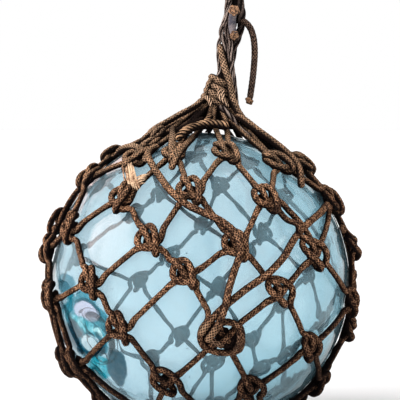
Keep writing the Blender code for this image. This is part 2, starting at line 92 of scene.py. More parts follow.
@dataclass(frozen=True)
class Plan:
    """Where everything sits on the ball: the leaning frame of the net and the places of its knots."""

    radius: float = 0.150
    gap: float = 0.0003
    foot_ring_radius: float = 0.026
    foot_rope_radius: float = 0.005
    foot_wear: float = 0.0006
    lean: float = 5.0
    lean_fades_from: float = -32.0
    lean_ends_at: float = -66.0
    meshes: int = 10
    first_longitude: float = 10.0
    row_latitudes: tuple[float, ...] = (54, 36, 18, 3, -13, -32, -50, -67)
    hand_wobble: float = 1.5
    row_seed: int = 100
    pulled: dict[Spot, Pair] = field(default_factory=lambda: {
        (0, -3): (-6, -5), (0, -2): (16, -4), (0, -1): (2, 1), (0, 0): (-1, 4), (0, 1): (-2, 0),
        (0, 2): (5, 0), (1, -3): (6, 2), (1, -2): (6, -4), (1, -1): (0, 2), (1, 0): (-3, 1), (1, 1): (12, 1),
        (2, -2): (2, 0), (2, -1): (6, 0), (2, 0): (1, 1), (2, 1): (-2, -1), (2, 2): (3, 0), (3, -3): (0, 5),
        (3, -2): (3, -2), (3, -1): (2, 5), (3, 0): (0, 1), (3, 1): (8, -4), (4, -3): (2, 2), (4, -2): (-4, 5),
        (4, -1): (-2, 0), (4, 0): (-1, 1), (4, 1): (0, -3), (4, 2): (0, 1), (5, -3): (2, -3),
        (5, -2): (-13, 0), (5, -1): (-2, 0), (5, 0): (-3, -1), (5, 1): (14, -3), (1, -5): (-6, -5),
        (2, -5): (-10, 0), (2, -4): (-14, 3), (3, -5): (-15, 0), (3, -4): (-4, 0), (3, 3): (-6, 0),
        (3, 4): (-11, 5), (4, -5): (-18, 5), (4, -4): (-20, 5), (4, 3): (-4, 0), (4, 4): (-12, 2),
        (5, -5): (-21, 2), (5, -4): (-10, 0), (5, 3): (-6, 0), (5, 4): (-19, 4), (6, -5): (-20, 9),
        (6, -4): (-22, 9), (6, -3): (-8, 3), (6, 3): (-6, 4), (6, 4): (-12, 9), (7, -5): (-8, 0),
        (7, -4): (-8, 0), (7, 4): (-5, 0),
    })

    @property
    def foot_height(self) -> float:
        """The height of the foot rope's middle, which has worn down a little."""
        return self.foot_rope_radius - self.foot_wear

    @property
    def centre(self) -> Vector:
        """The ball's centre, above the foot ring that it rests on."""
        reach = self.radius + self.gap + self.foot_rope_radius
        return Vector((0, 0, self.foot_height + math.sqrt(reach ** 2 - self.foot_ring_radius ** 2)))

    @property
    def pitch(self) -> float:
        """The angle between neighbouring knots of a row."""
        return 360 / self.meshes

    @property
    def rows(self) -> int:
        """The number of rows of knots."""
        return len(self.row_latitudes)

    @property
    def columns(self) -> range:
        """The columns of the net, with the front ones round zero."""
        return range(-(self.meshes // 2), self.meshes // 2)

    @property
    def spots(self) -> list[Spot]:
        """The row and column of every knot."""
        return [(row, column) for row in range(self.rows) for column in self.columns]

    def wrap(self, column: int) -> int:
        """The same column, counted within one turn of the ball."""
        half = self.meshes // 2
        return (column + half) % self.meshes - half

    def axes(self, latitude: float) -> Matrix:
        """The turn of the net's frame at a latitude, which fades out towards the foot."""
        share = (latitude - self.lean_ends_at) / (self.lean_fades_from - self.lean_ends_at)
        return Matrix.Rotation(math.radians(self.lean) * min(max(share, 0.0), 1.0), 3, "Y")

    def around(self, longitude: float, radius: float, height: float, latitude: float = 90.0) -> Vector:
        """The point at a longitude, a distance and a height beside the net's axis, with a latitude's lean.

        Args:
            longitude: the angle round the net, in degrees.
            radius: the distance from the net's axis.
            height: the height along the axis, from the ball's centre.
            latitude: the latitude whose lean the axis takes, in degrees.

        Returns:
            The point.
        """
        turn = math.radians(longitude)
        flat = Vector((radius * math.sin(turn), -radius * math.cos(turn), height))
        return self.centre + self.axes(latitude) @ flat

    def on_ball(self, longitude: float, latitude: float, height: float = 0.0) -> Vector:
        """The point at a longitude and latitude, a height above the glass."""
        rise, reach = math.radians(latitude), self.radius + height
        return self.around(longitude, reach * math.cos(rise), reach * math.sin(rise), latitude)

    def outward(self, point: Vector) -> Vector:
        """The direction from the ball's centre through a point."""
        return (point - self.centre).normalized()

    def knot(self, row: int, column: int) -> Vector:
        """The direction of a knot from the ball's centre, with the scatter of hand work.

        Args:
            row: the knot's row, counted from the top.
            column: its place in the row.

        Returns:
            A unit vector.
        """
        column = self.wrap(column)
        scatter = random.Random(self.row_seed * row + column)
        east, north = (scatter.uniform(-self.hand_wobble, self.hand_wobble) for _ in range(2))
        east, north = self.pulled.get((row, column), (east, north))
        longitude = self.first_longitude + self.pitch * (column + 0.5 * (row % 2)) + east
        return self.outward(self.on_ball(longitude, self.row_latitudes[row] + north))

    def above(self, direction: Vector, height: float) -> Vector:
        """The point over the glass in a direction from the ball's centre."""
        return self.centre + direction.normalized() * (self.radius + height)


PLAN = Plan()
CENTRE = PLAN.centre


def front_spot(x: float, z: float, height: float) -> Point:
    """The place right of and above the ball's middle, on its front and a height above the glass, in mm."""
    return x, -math.sqrt(max((PLAN.radius / MM + height) ** 2 - x * x - z * z, 0.0)), z


def over_ball(*spots: Point) -> Route:
    """A route over the ball's front: how far right, up and above the glass each of its places is, in mm."""
    return tuple(front_spot(*spot) for spot in spots)


def from_centre(spot: Point) -> Vector:
    """A place given in millimetres from the ball's centre, in the part's frame."""
    return CENTRE + Vector(spot) * MM


# Spots where a rope turns towards its pale fibre (above 0) or near-black (below 0), and how far, in mm: the
# first three are worn fibre, the next two painted light on the upper rims, and the dark ones round the neck's
# foot painted shade
WEAR_AND_PAINTED_LIGHT_SPOTS: tuple[tuple[Point, float, float], ...] = (
    (front_spot(-68, 135.5, 11), 14, 0.45),
    (front_spot(7, -31, 18), 15, 0.8),
    (front_spot(0.5, -28, 15), 10, 0.7),
    # Painted light on the upper rims
    (front_spot(126, 94, 10), 16, 0.25),
    (front_spot(-104, 96, 9), 52, 0.28),
    # Painted shade round the neck's foot
    ((-14, -44, 152), 22, -0.9),
    ((0, -20, 160), 20, -1.0),
    ((26, -34, 152), 14, -0.9),
    ((-40, -62, 133), 16, -0.8),
    ((-38, -34, 143), 12, -1.0),
)


def unit_rows(rows: np.ndarray) -> np.ndarray:
    """The rows of an array, each brought to length 1."""
    return rows / np.linalg.norm(rows, axis=1)[:, None]


def painted_light_side(line: np.ndarray) -> np.ndarray:
    """The way that counts as lit for the painted light and shade at each point of a rope: away from the ball,
    or from the middle of the neck.

    Args:
        line: the rope's points, one row each.

    Returns:
        A unit vector for each point, one row each.
    """
    place = line - np.array(CENTRE)
    height = place[:, 2]
    above = np.clip((height - PLAN.radius) / NECK_RISE, 0.0, 1.0)
    middle = np.column_stack([NECK_ROOT + height * NECK_LEAN, np.zeros_like(height), height])
    return unit_rows(place - above[:, None] * middle)


def wear_and_painted_light_share(line: np.ndarray) -> np.ndarray:
    """How far a rope turns towards its pale fibre, by wear or painted light (up to 1), or darkens with
    painted shade (down to -1), at each point of its line.

    Args:
        line: the rope's points, one row each.

    Returns:
        The share at each point.
    """
    share = np.zeros(len(line))
    for place, reach, strength in WEAR_AND_PAINTED_LIGHT_SPOTS:
        away = np.linalg.norm((line - np.array(CENTRE)) / MM - np.array(place), axis=1)
        share += strength * np.clip(SPOT_EDGE * (1 - away / reach), 0.0, 1.0)
    return np.clip(share, -1.0, 1.0)


def thinned(line: np.ndarray) -> np.ndarray:
    """How much of its thickness a rope keeps: the net's hidden half is tied from a thinner one."""
    back = np.clip((line[:, 1] - BACK_FROM) / BACK_BLEND, 0.0, 1.0) * (line[:, 2] < BACK_TOP)
    return 1 - BACK_THINNING * back


def between_knots(line: np.ndarray) -> np.ndarray:
    """How far each point of a rope is from the knots: 0 inside one and 1 on the bars between them.

    Args:
        line: the rope's points, one row each.

    Returns:
        The share at each point.
    """
    knots = np.array([PLAN.knot(*spot) for spot in PLAN.spots])
    nearest = (unit_rows(line - np.array(CENTRE)) @ knots.T).max(axis=1)
    away = np.arccos(np.clip(nearest, -1.0, 1.0)) * PLAN.radius / MM
    return np.clip((away - KNOT_REACH) / KNOT_BLEND, 0.0, 1.0)


# ---------------------------------------------------------------- lines and bodies

def spacings(line: np.ndarray) -> np.ndarray:
    """The distances between the neighbouring points of a line."""
    return np.linalg.norm(np.diff(line, axis=0), axis=1)


def curve_through(points: list[Vector], step: float) -> np.ndarray:
    """Run a smooth line through a route's points, by centripetal Catmull-Rom pieces.

    Args:
        points: the route, two points or more.
        step: the distance between the line's own points.

    Returns:
        The evenly spaced points of the line, one row each.
    """
    route = np.array([tuple(p) for p in points])
    route = np.vstack([2 * route[0] - route[1], route, 2 * route[-1] - route[-2]])
    knots = np.concatenate([[0.0], np.cumsum(np.sqrt(spacings(route)))])
    fine = []
    for i in range(len(route) - 3):
        p, t = route[i:i + 4], knots[i:i + 4]
        at = np.linspace(t[1], t[2], FINE_STEPS, endpoint=False)[:, None]
        a = [(t[j + 1] - at) / (t[j + 1] - t[j]) * p[j] + (at - t[j]) / (t[j + 1] - t[j]) * p[j + 1]
             for j in range(3)]
        b = [(t[j + 2] - at) / (t[j + 2] - t[j]) * a[j] + (at - t[j]) / (t[j + 2] - t[j]) * a[j + 1]
             for j in range(2)]
        fine.append((t[2] - at) / (t[2] - t[1]) * b[0] + (at - t[1]) / (t[2] - t[1]) * b[1])
    fine = np.vstack([*fine, route[-2:-1]])
    length = np.concatenate([[0.0], np.cumsum(spacings(fine))])
    wanted = np.linspace(0.0, length[-1], max(3, round(length[-1] / step) + 1))
    return np.column_stack([np.interp(wanted, length, fine[:, k]) for k in range(3)])


def frames_along(line: np.ndarray) -> tuple[np.ndarray, np.ndarray]:
    """Two unit vectors across a line at each of its points, carried along it without a twist.

    Args:
        line: the line's points, one row each.

    Returns:
        The first and the second vectors, one row for each point.
    """
    along = unit_rows(np.gradient(line, axis=0))
    first = [np.array(Vector(along[0]).orthogonal().normalized())]
    for direction in along[1:]:
        carried = first[-1] - direction * first[-1].dot(direction)
        first.append(carried / np.linalg.norm(carried))
    first = np.array(first)
    return first, np.cross(along, first)


def finished(bm: BMesh, name: str) -> Object:
    """Make a modelled body into a smooth object, and free it.

    Args:
        bm: the body.
        name: the object's name.

    Returns:
        The object.
    """
    mesh = bpy.data.meshes.new(name)
    bm.to_mesh(mesh)
    bm.free()
    mesh.shade_smooth()
    return bpy.data.objects.new(name, mesh)


def gathered(bodies: list[Object]) -> BMesh:
    """Several bodies as one, with their maps; the objects are used up.

    Args:
        bodies: the objects.

    Returns:
        One body with the faces of all of them.
    """
    bm = bmesh.new()
    for body in bodies:
        bm.from_mesh(body.data)
        bpy.data.meshes.remove(body.data)
    return bm


def spun(profile: list[Point], steps: int) -> BMesh:
    """A closed round body: a profile that starts and ends on the upright axis is spun round it in steps.

    Args:
        profile: the profile's points.
        steps: how many steps the full turn has.

    Returns:
        The body.
    """
    bm = bmesh.new()
    verts = [bm.verts.new(spot) for spot in profile]
    edges = [bm.edges.new(pair) for pair in zip(verts, verts[1:])]
    bmesh.ops.spin(bm, geom=verts + edges, cent=(0, 0, 0), axis=UP, angle=FULL_TURN, steps=steps,
                   use_merge=True)
    bmesh.ops.remove_doubles(bm, verts=bm.verts[:], dist=MERGE_DISTANCE)
    bmesh.ops.recalc_face_normals(bm, faces=bm.faces[:])
    return bm


def turned_to(bm: BMesh, direction: Vector) -> None:
    """Turn a body from its upright axis to a direction."""
    turn = UP.rotation_difference(direction).to_matrix()
    bmesh.ops.rotate(bm, verts=bm.verts[:], cent=(0, 0, 0), matrix=turn)


def moved(bm: BMesh, way: Vector) -> None:
    """Move a body."""
    bmesh.ops.translate(bm, verts=bm.verts[:], vec=way)


def show(obj: Object) -> None:
    """Put an object into the scene."""
    bpy.context.scene.collection.objects.link(obj)


def add_piece(obj: Object, slot: str, material: Material,
              *nodes: str) -> Object:
    """Put a finished piece into the scene.

    Args:
        obj: the piece.
        slot: the record's material slot; not used.
        material: its finish.
        nodes: the CAD nodes that it stands for.

    Returns:
        The piece.
    """
    show(obj)
    obj.data.materials.append(material)
    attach(obj, "root")
    if nodes:
        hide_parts(*nodes)
    LOG.info("%s: %d faces", obj.name, len(obj.data.polygons))
    return obj


# ---------------------------------------------------------------- ropes

class Lay(Enum):
    """How a rope is made up."""

    BRAIDED = "braided"
    LAID = "laid"
    PLAIN = "plain"


class End(Enum):
    """How a rope's end looks."""

    ROUND = "round"
    CUT = "cut"
    POINTED = "pointed"


@dataclass(frozen=True)
class Rope:
    """A kind of rope: its thickness, its make and how finely its body is modelled."""

    diameter: float
    lay: Lay = Lay.BRAIDED
    sides: int = 18
    step: float = 0.0014
    lumps_round: int = 6
    lump_length: float = 0.0042
    relief: float = 0.075
    strands: int = 5
    lay_length: float = 0.020
    start: End = End.ROUND
    finish: End = End.ROUND
    painted_light_all_round: bool = False
    drawn_out: float = 0.0

    def relief_at(self, turn: np.ndarray, along: np.ndarray) -> np.ndarray:
        """The factors for the radius, round 1, at angles round the rope and distances along it.

        Args:
            turn: the angles, in radians.
            along: the distances.

        Returns:
            The factor at each of them.
        """
        if self.lay is Lay.BRAIDED:
            length = np.cos(FULL_TURN * along / self.lump_length)
            return 1 + self.relief * 0.5 * (np.cos(self.lumps_round * turn) + length)
        if self.lay is Lay.LAID:
            phase = self.strands / 2 * (turn - FULL_TURN * along / self.lay_length)
            return 1 - STRAND_INSET * self.relief + STRAND_RISE * self.relief * np.abs(np.sin(phase))
        return np.ones_like(turn)

    def end_share(self, from_end: np.ndarray, end: End) -> np.ndarray:
        """The share of the full thickness, from just over 0 to 1, that is left at distances from an end.

        Args:
            from_end: the distances.
            end: how the end is made.

        Returns:
            The share at each distance.
        """
        if end is End.CUT:
            return np.ones_like(from_end)
        if end is End.ROUND:
            share = np.clip(from_end / (self.diameter * 0.5), 0.0, 1.0)
            return np.sqrt(np.clip(1 - (1 - share) ** 2, ROUND_TIP, 1.0))
        return POINT_TIP + (1 - POINT_TIP) * np.clip(from_end / (self.diameter * POINT_REACH), 0.0, 1.0)

    def tube(self, name: str, stations: int, length: float, offset: float) -> Object:
        """Model a closed tube with the rope's map, still as a flat sheet.

        Args:
            name: the object's name.
            stations: how many rings it has.
            length: the rope's length.
            offset: how far along the rope's own pattern its map starts.

        Returns:
            The tube: its x from -1 to 1 is the turn and its y from -1 to 1 the way along.
        """
        bm = bmesh.new()
        rope_map = bm.loops.layers.uv.new("rope")
        bmesh.ops.create_grid(bm, x_segments=self.sides, y_segments=stations - 1, size=1.0, calc_uvs=True)
        for face in bm.faces:
            for loop in face.loops:
                loop[rope_map].uv.y = loop[rope_map].uv.y * length + offset
        right, left = (sorted((v for v in bm.verts if v.co.x * side > SEAM_FROM), key=lambda v: v.co.y)
                       for side in (1, -1))
        bmesh.ops.weld_verts(bm, targetmap=dict(zip(right, left)))
        bmesh.ops.holes_fill(bm, edges=[e for e in bm.edges if e.is_boundary])
        return finished(bm, name)

    def body(self, name: str, route: list[Vector], offset: float = 0.0) -> Object:
        """Model the rope along a route, with its lay, its ends, and the masks for its wear and its painted
        light and shade.

        Args:
            name: the object's name.
            route: the points that the rope passes.
            offset: how far along the rope's own pattern it starts.

        Returns:
            The object.
        """
        line = curve_through(route, self.step)
        thickness = thinned(line) if self.lay is Lay.BRAIDED else np.ones(len(line))
        if self.drawn_out:
            thickness = thickness * (1 - self.drawn_out * between_knots(line))
        length = float(spacings(line).sum())
        tube = self.tube(name, len(line), length, offset)
        mesh = tube.data
        flat = np.empty(len(mesh.vertices) * 3)
        mesh.vertices.foreach_get("co", flat)
        flat = flat.reshape(-1, 3)
        at = np.rint((flat[:, 1] + 1) / 2 * (len(line) - 1)).astype(int)
        turn = (flat[:, 0] + 1) * math.pi
        along = at * length / (len(line) - 1)
        first, second = frames_along(line)
        radius = self.diameter / 2 * thickness[at] * self.relief_at(turn, along + offset)
        radius *= self.end_share(along, self.start) * self.end_share(length - along, self.finish)
        out = np.cos(turn)[:, None] * first[at] + np.sin(turn)[:, None] * second[at]
        mesh.vertices.foreach_set("co", (line[at] + radius[:, None] * out).astype(np.float32).ravel())
        # How far each point faces away from the ball or the neck's middle: the painted light and shade of the
        # finishes follow it
        painted_light_facing = (out * painted_light_side(line)[at]).sum(axis=1)
        # Ropes lit all round keep most of the painted light on their inner side, so little painted shade
        if self.painted_light_all_round:
            painted_light_facing = INNER_PAINTED_LIGHT + (1 - INNER_PAINTED_LIGHT) * painted_light_facing
        for layer, values in (("painted_light_facing", painted_light_facing), ("wear_and_painted_light", wear_and_painted_light_share(line)[at])):
            mesh.attributes.new(layer, "FLOAT", "POINT").data.foreach_set("value", values.astype(np.float32))
        mesh.update()
        return tube


NET_ROPE = Rope(0.0065, drawn_out=0.14)
LOOSE_ROPE = Rope(0.0070)
LANYARD_ROPE = Rope(0.0076, Lay.LAID, step=0.0010, painted_light_all_round=True)
ARCH_ROPE = Rope(0.0086, Lay.LAID, step=0.0010)
FOOT_ROPE = Rope(0.0100)
CORE_ROPE = Rope(0.0100, Lay.LAID)
PALE_STRAND_ROPE = Rope(0.0046, Lay.LAID, step=0.0009, strands=3, lay_length=0.012)
CUT_ROPE = Rope(0.0076, Lay.PLAIN, start=End.CUT, finish=End.CUT)


def leg(diameter: float) -> Rope:
    """One leg of the lanyard: a hard-laid rope, lit nearly all round, so that its inner side gets little
    painted shade.
    """
    return Rope(diameter, Lay.LAID, step=0.0010, strands=3, lay_length=0.040, painted_light_all_round=True)


# ---------------------------------------------------------------- finishes

class Graph:
    """A shader tree with short calls for its nodes."""

    def __init__(self, tree: NodeTree) -> None:
        """Work on a tree."""
        self.tree = tree

    def fill(self, node: Node, **inputs: object) -> Node:
        """Give a node's inputs their values, or link other nodes' outputs to them.

        Args:
            node: the node.
            inputs: values or sockets by input name, with _ for a space, or by number after a leading i.

        Returns:
            The node.
        """
        for key, value in inputs.items():
            socket = node.inputs[int(key[1:]) if key[1:].isdigit() else key.replace("_", " ")]
            if isinstance(value, NodeSocket):
                self.tree.links.new(value, socket)
            else:
                socket.default_value = (*value, 1.0) if socket.type == "RGBA" else value
        return node

    def node(self, kind: str, settings: dict | None = None, **inputs: object) -> Node:
        """Add a node of a kind, with its own settings and its inputs.

        Args:
            kind: the node's type.
            settings: its own settings, by name.
            inputs: a value or a socket for each input, by name.

        Returns:
            The node.
        """
        made = self.tree.nodes.new(kind)
        for key, value in (settings or {}).items():
            setattr(made, key, value)
        return self.fill(made, **inputs)

    def group(self, tree: NodeTree, **inputs: object) -> NodeOutputs:
        """The outputs of a node group."""
        return self.node("ShaderNodeGroup", {"node_tree": tree}, **inputs).outputs

    def math(self, operation: str, first: object, second: object = 0.0) -> NodeSocket:
        """The result of a Math node with one or two inputs."""
        return self.node("ShaderNodeMath", {"operation": operation}, i0=first, i1=second).outputs[0]

    def plus(self, first: object, second: object) -> NodeSocket:
        """The sum of two values."""
        return self.math("ADD", first, second)

    def times(self, first: object, second: object) -> NodeSocket:
        """The product of two values."""
        return self.math("MULTIPLY", first, second)

    def mix(self, share: object, first: object, second: object) -> NodeSocket:
        """The colour between two colours."""
        return self.node("ShaderNodeMix", {"data_type": "RGBA"}, i0=share, i6=first, i7=second).outputs[2]

    def spread(self, value: object, low: float, high: float) -> NodeSocket:
        """A value stretched so that low gives 0 and high gives 1, smoothly."""
        return self.node("ShaderNodeMapRange", {"interpolation_type": "SMOOTHSTEP"}, Value=value,
                         From_Min=low, From_Max=high).outputs[0]

    def noise(self, vector: object, scale: float, detail: float = 3.0) -> NodeSocket:
        """The value of a Noise texture."""
        return self.node("ShaderNodeTexNoise", Vector=vector, Scale=scale, Detail=detail).outputs["Fac"]

    def split(self, vector: object) -> NodeOutputs:
        """The three parts of a vector."""
        return self.node("ShaderNodeSeparateXYZ", Vector=vector).outputs

    def bump(self, strength: float, distance: float, height: object) -> NodeSocket:
        """The normal of a surface that a height makes uneven."""
        return self.node("ShaderNodeBump", Strength=strength, Distance=distance, Height=height).outputs[0]


def start_group(name: str, vector: str, values: tuple[str, ...],
                masks: tuple[str, ...]) -> tuple[Graph, NodeOutputs, Node]:
    """Start a node group that turns a vector and a few values into masks.

    Args:
        name: its name.
        vector: the name of its vector.
        values: the names of its values.
        masks: the names of its masks.

    Returns:
        Its graph, what it is given and its output node.
    """
    tree = bpy.data.node_groups.new(name, "ShaderNodeTree")
    tree.interface.new_socket(vector, in_out="INPUT", socket_type="NodeSocketVector")
    for value in values:
        tree.interface.new_socket(value, in_out="INPUT", socket_type="NodeSocketFloat")
    for mask in masks:
        tree.interface.new_socket(mask, in_out="OUTPUT", socket_type="NodeSocketFloat")
    g = Graph(tree)
    return g, g.node("NodeGroupInput").outputs, g.node("NodeGroupOutput")


@cache
def stitch_group() -> NodeTree:
    """The yarns of a rope, from its own map: their height, which is 0 in the pits, and a tone for each.

    Returns:
        The node group.
    """
    g, given, out = start_group("rope_yarns", "Map", ("Round", "Length", "Cross"), ("Height", "Tone"))
    place = g.split(given["Map"])
    turn = g.times(place[0], given["Round"])
    run = g.math("DIVIDE", place[1], given["Length"])
    one, other = g.plus(turn, run), g.math("SUBTRACT", turn, g.times(run, given["Cross"]))
    waves = [g.math("ABSOLUTE", g.math("COSINE", g.times(v, math.pi))) for v in (one, other)]
    cell = g.node("ShaderNodeCombineXYZ", X=g.math("ROUND", one), Y=g.math("FLOOR", other)).outputs[0]
    tone = g.node("ShaderNodeTexWhiteNoise", {"noise_dimensions": "2D"}, Vector=cell).outputs["Value"]
    g.fill(out, Height=g.math("SUBTRACT", 1.0, g.times(*waves)), Tone=tone)
    return g.tree


@cache
def weather_group() -> NodeTree:
    """Slow patches and fine flecks over a surface, as two masks, for rope and glass.

    Returns:
        The node group.
    """
    g, given, out = start_group("weather", "Place", ("Patch Scale", "Fleck Scale"), ("Patches", "Flecks"))
    for scale, detail, mask in (("Patch Scale", 2.0, "Patches"), ("Fleck Scale", 4.0, "Flecks")):
        g.fill(out, **{mask: g.spread(g.noise(given["Place"], given[scale], detail), *MASK_FROM)})
    return g.tree


def new_material(name: str) -> tuple[Material, Graph, Node]:
    """Start a Principled material, and return it with its graph and its shader.

    Args:
        name: the material's name.

    Returns:
        The material, its graph and its shader.
    """
    material = bpy.data.materials.new(name)
    material.use_nodes = True
    shader = next(n for n in material.node_tree.nodes if n.type == "BSDF_PRINCIPLED")
    return material, Graph(material.node_tree), shader


@dataclass(frozen=True)
class RopeFinish:
    """A weathered rope: its colours, light to dark, the size of its yarns, its wear, and its painted light
    and shade.
    """

    name: str
    light: Point
    middle: Point
    dark: Point
    old: Point
    old_share: float = 0.30
    fibre: Point = (0.66, 0.45, 0.28)
    # The near-black of the painted shade: in the yarn pits, towards the bottom, at the dark spots and on the
    # side towards the ball
    painted_shade_colour: Point = (0.006, 0.004, 0.004)
    # How strong the painted shade on the side towards the ball is, and over what facing it gives way to lit
    painted_shade_strength: float = 0.985
    lit_from: Pair = (0.08, 0.90)
    # Painted shade towards the bottom: the heights over which it grows, and its strength
    painted_low_shade_from: Pair = (0.205, 0.030)
    painted_low_shade: float = 0.80
    # Painted light towards the top: its strength, and the heights over which it grows
    painted_top_light: float = 0.26
    painted_top_light_from: Pair = (0.235, 0.300)
    yarns_round: float = 7.0
    yarn_length: float = 0.0036
    cross: float = 1.0
    patch_scale: float = 28.0
    fleck_scale: float = 1000.0
    yarn_tone: float = 0.60
    middle_from: Pair = (0.08, 0.50)
    light_from: Pair = (0.40, 0.85)
    # How pale the worn spots and the painted light of the bright spots make a rope
    wear_and_painted_light: float = 0.7
    fleck_height: float = 0.25
    # Over what yarn height the pits are painted with shade
    painted_pit_shade_from: Pair = (0.33, 1.02)
    fibre_scale: float = 1500.0
    fibre_height: float = 0.35

    @cache
    def material(self) -> Material:
        """Build the finish, once, and return it.

        Returns:
            The material.
        """
        material, g, shader = new_material(self.name)
        rope_map = g.node("ShaderNodeUVMap", {"uv_map": "rope"}).outputs[0]
        painted_light_facing, wear_and_painted_light = (g.node("ShaderNodeAttribute", {"attribute_name": layer}).outputs["Fac"]
                       for layer in ("painted_light_facing", "wear_and_painted_light"))
        place = g.node("ShaderNodeTexCoord").outputs["Object"]
        rise = g.split(place)[2]
        yarns = g.group(stitch_group(), Map=rope_map, Round=self.yarns_round, Length=self.yarn_length,
                        Cross=self.cross)
        patches, flecks = g.group(weather_group(), Place=place, Patch_Scale=self.patch_scale,
                                  Fleck_Scale=self.fleck_scale)
        tone = g.plus(g.times(yarns["Tone"], self.yarn_tone), g.times(flecks, 1 - self.yarn_tone))
        colour = g.mix(g.spread(tone, *self.middle_from), self.dark, self.middle)
        colour = g.mix(g.spread(tone, *self.light_from), colour, self.light)
        colour = g.mix(g.times(patches, self.old_share), colour, self.old)
        pale = g.mix(flecks, self.light, self.fibre)
        # Pale fibre at the worn spots, and painted light at the bright spots on the upper rims
        colour = g.mix(g.times(g.spread(wear_and_painted_light, 0.0, 1.0), self.wear_and_painted_light), colour, pale)
        # Painted light: the ropes grow paler towards the top
        colour = g.mix(g.times(g.spread(rise, *self.painted_top_light_from), self.painted_top_light), colour, self.fibre)
        # Painted shade in the yarn pits
        painted_pit_shade = g.plus(yarns["Height"], g.times(flecks, self.fleck_height))
        colour = g.mix(g.spread(painted_pit_shade, *self.painted_pit_shade_from), self.painted_shade_colour, colour)
        # Painted shade on each rope's side towards the ball or the neck's middle, deeper at the dark spots
        painted_shade = g.spread(g.plus(painted_light_facing, g.math("MINIMUM", wear_and_painted_light, 0.0)), *self.lit_from[::-1])
        colour = g.mix(g.times(painted_shade, self.painted_shade_strength), colour, self.painted_shade_colour)
        # Painted shade: darker towards the bottom
        colour = g.mix(g.times(g.spread(rise, *self.painted_low_shade_from), self.painted_low_shade), colour, self.painted_shade_colour)
        fibres = g.times(g.noise(place, self.fibre_scale, 2.0), self.fibre_height)
        g.fill(shader, Base_Color=colour, Roughness=0.9, Specular_IOR_Level=0.03,
               Normal=g.bump(0.9, 0.0008, g.plus(yarns["Height"], fibres)))
        return material


@dataclass(frozen=True)
class FibreFinish:
    """Loose, bleached fibres of a rope that has come apart."""

    name: str
    light: Point
    dark: Point
    patch_scale: float = 160.0
    fleck_scale: float = 1100.0
    light_from: Pair = (0.4, 1.6)
    fibre_scale: float = 1800.0

    @cache
    def material(self) -> Material:
        """Build the finish, once, and return it.

        Returns:
            The material.
        """
        material, g, shader = new_material(self.name)
        place = g.node("ShaderNodeTexCoord").outputs["Object"]
        patches, flecks = g.group(weather_group(), Place=place, Patch_Scale=self.patch_scale,
                                  Fleck_Scale=self.fleck_scale)
        colour = g.mix(g.spread(g.plus(patches, flecks), *self.light_from), self.dark, self.light)
        g.fill(shader, Base_Color=colour, Roughness=0.85,
               Normal=g.bump(0.4, 0.0003, g.noise(place, self.fibre_scale)))
        return material


@dataclass(frozen=True)
class Patch:
    """A patch of colour over the seal, in millimetres from the ball's centre: most are the folded glass's
    tones, the pale ones painted highlights.
    """

    place: Pair
    reach: Pair
    turn: float
    colour: Point
    marbled: float = 0.0
    ragged: float = 0.25
    depth: float = 60.0
    edge: Pair = (1.16, 1.0)

    def mask(self, g: Graph, place: NodeSocket, uneven: NodeSocket) -> NodeSocket:
        """A mask that is 1 inside the patch, at the coordinates; another mask makes its edge uneven.

        Args:
            g: the material's graph.
            place: the coordinates.
            uneven: the mask that makes the edge uneven.

        Returns:
            The mask.
        """
        own = g.node("ShaderNodeMapping", {"vector_type": "TEXTURE"}, Vector=place,
                     Location=from_centre(front_spot(*self.place, 0.0)),
                     Rotation=(0, math.radians(self.turn), 0),
                     Scale=Vector((self.reach[0], self.depth, self.reach[1])) * MM).outputs[0]
        away = g.node("ShaderNodeVectorMath", {"operation": "LENGTH"}, i0=own).outputs["Value"]
        return g.spread(g.plus(away, g.times(uneven, self.ragged)), *self.edge)


SEAL_PATCHES = (
    Patch((-128, 5.5), (9.5, 11), 25.0, (0.13, 0.34, 0.43)),
    Patch((-108.5, -4.5), (10, 4.5), 6.0, (0.08, 0.3, 0.38)),
    Patch((-111, -33), (28, 33), -14.0, (0.03, 0.33, 0.44), marbled=0.2),
    Patch((-107, -17), (14, 10.5), 18.0, (0.015, 0.12, 0.17), ragged=0.08),
    # A painted highlight
    Patch((-108, -18.5), (13, 9), 16.0, (0.8, 0.76, 0.9), ragged=0.14),
    Patch((-105.5, -34.5), (21, 7.5), 28.0, (0.08, 0.72, 0.82), marbled=0.8),
    Patch((-119, -46), (12, 19), -25.0, (0.004, 0.045, 0.08), marbled=0.1),
    Patch((-102, -52.5), (14.5, 14.5), 10.0, (0.008, 0.09, 0.14)),
    # A painted highlight
    Patch((-104, -49), (8.8, 8.6), 20.0, (0.8, 0.92, 0.96), ragged=0.06),
    Patch((-94.5, -73.5), (13, 15), 30.0, (0.01, 0.55, 0.68), marbled=0.45),
    Patch((-78, -71), (10, 20), -4.0, (0.025, 0.085, 0.125), marbled=0.12, ragged=0.2),
)


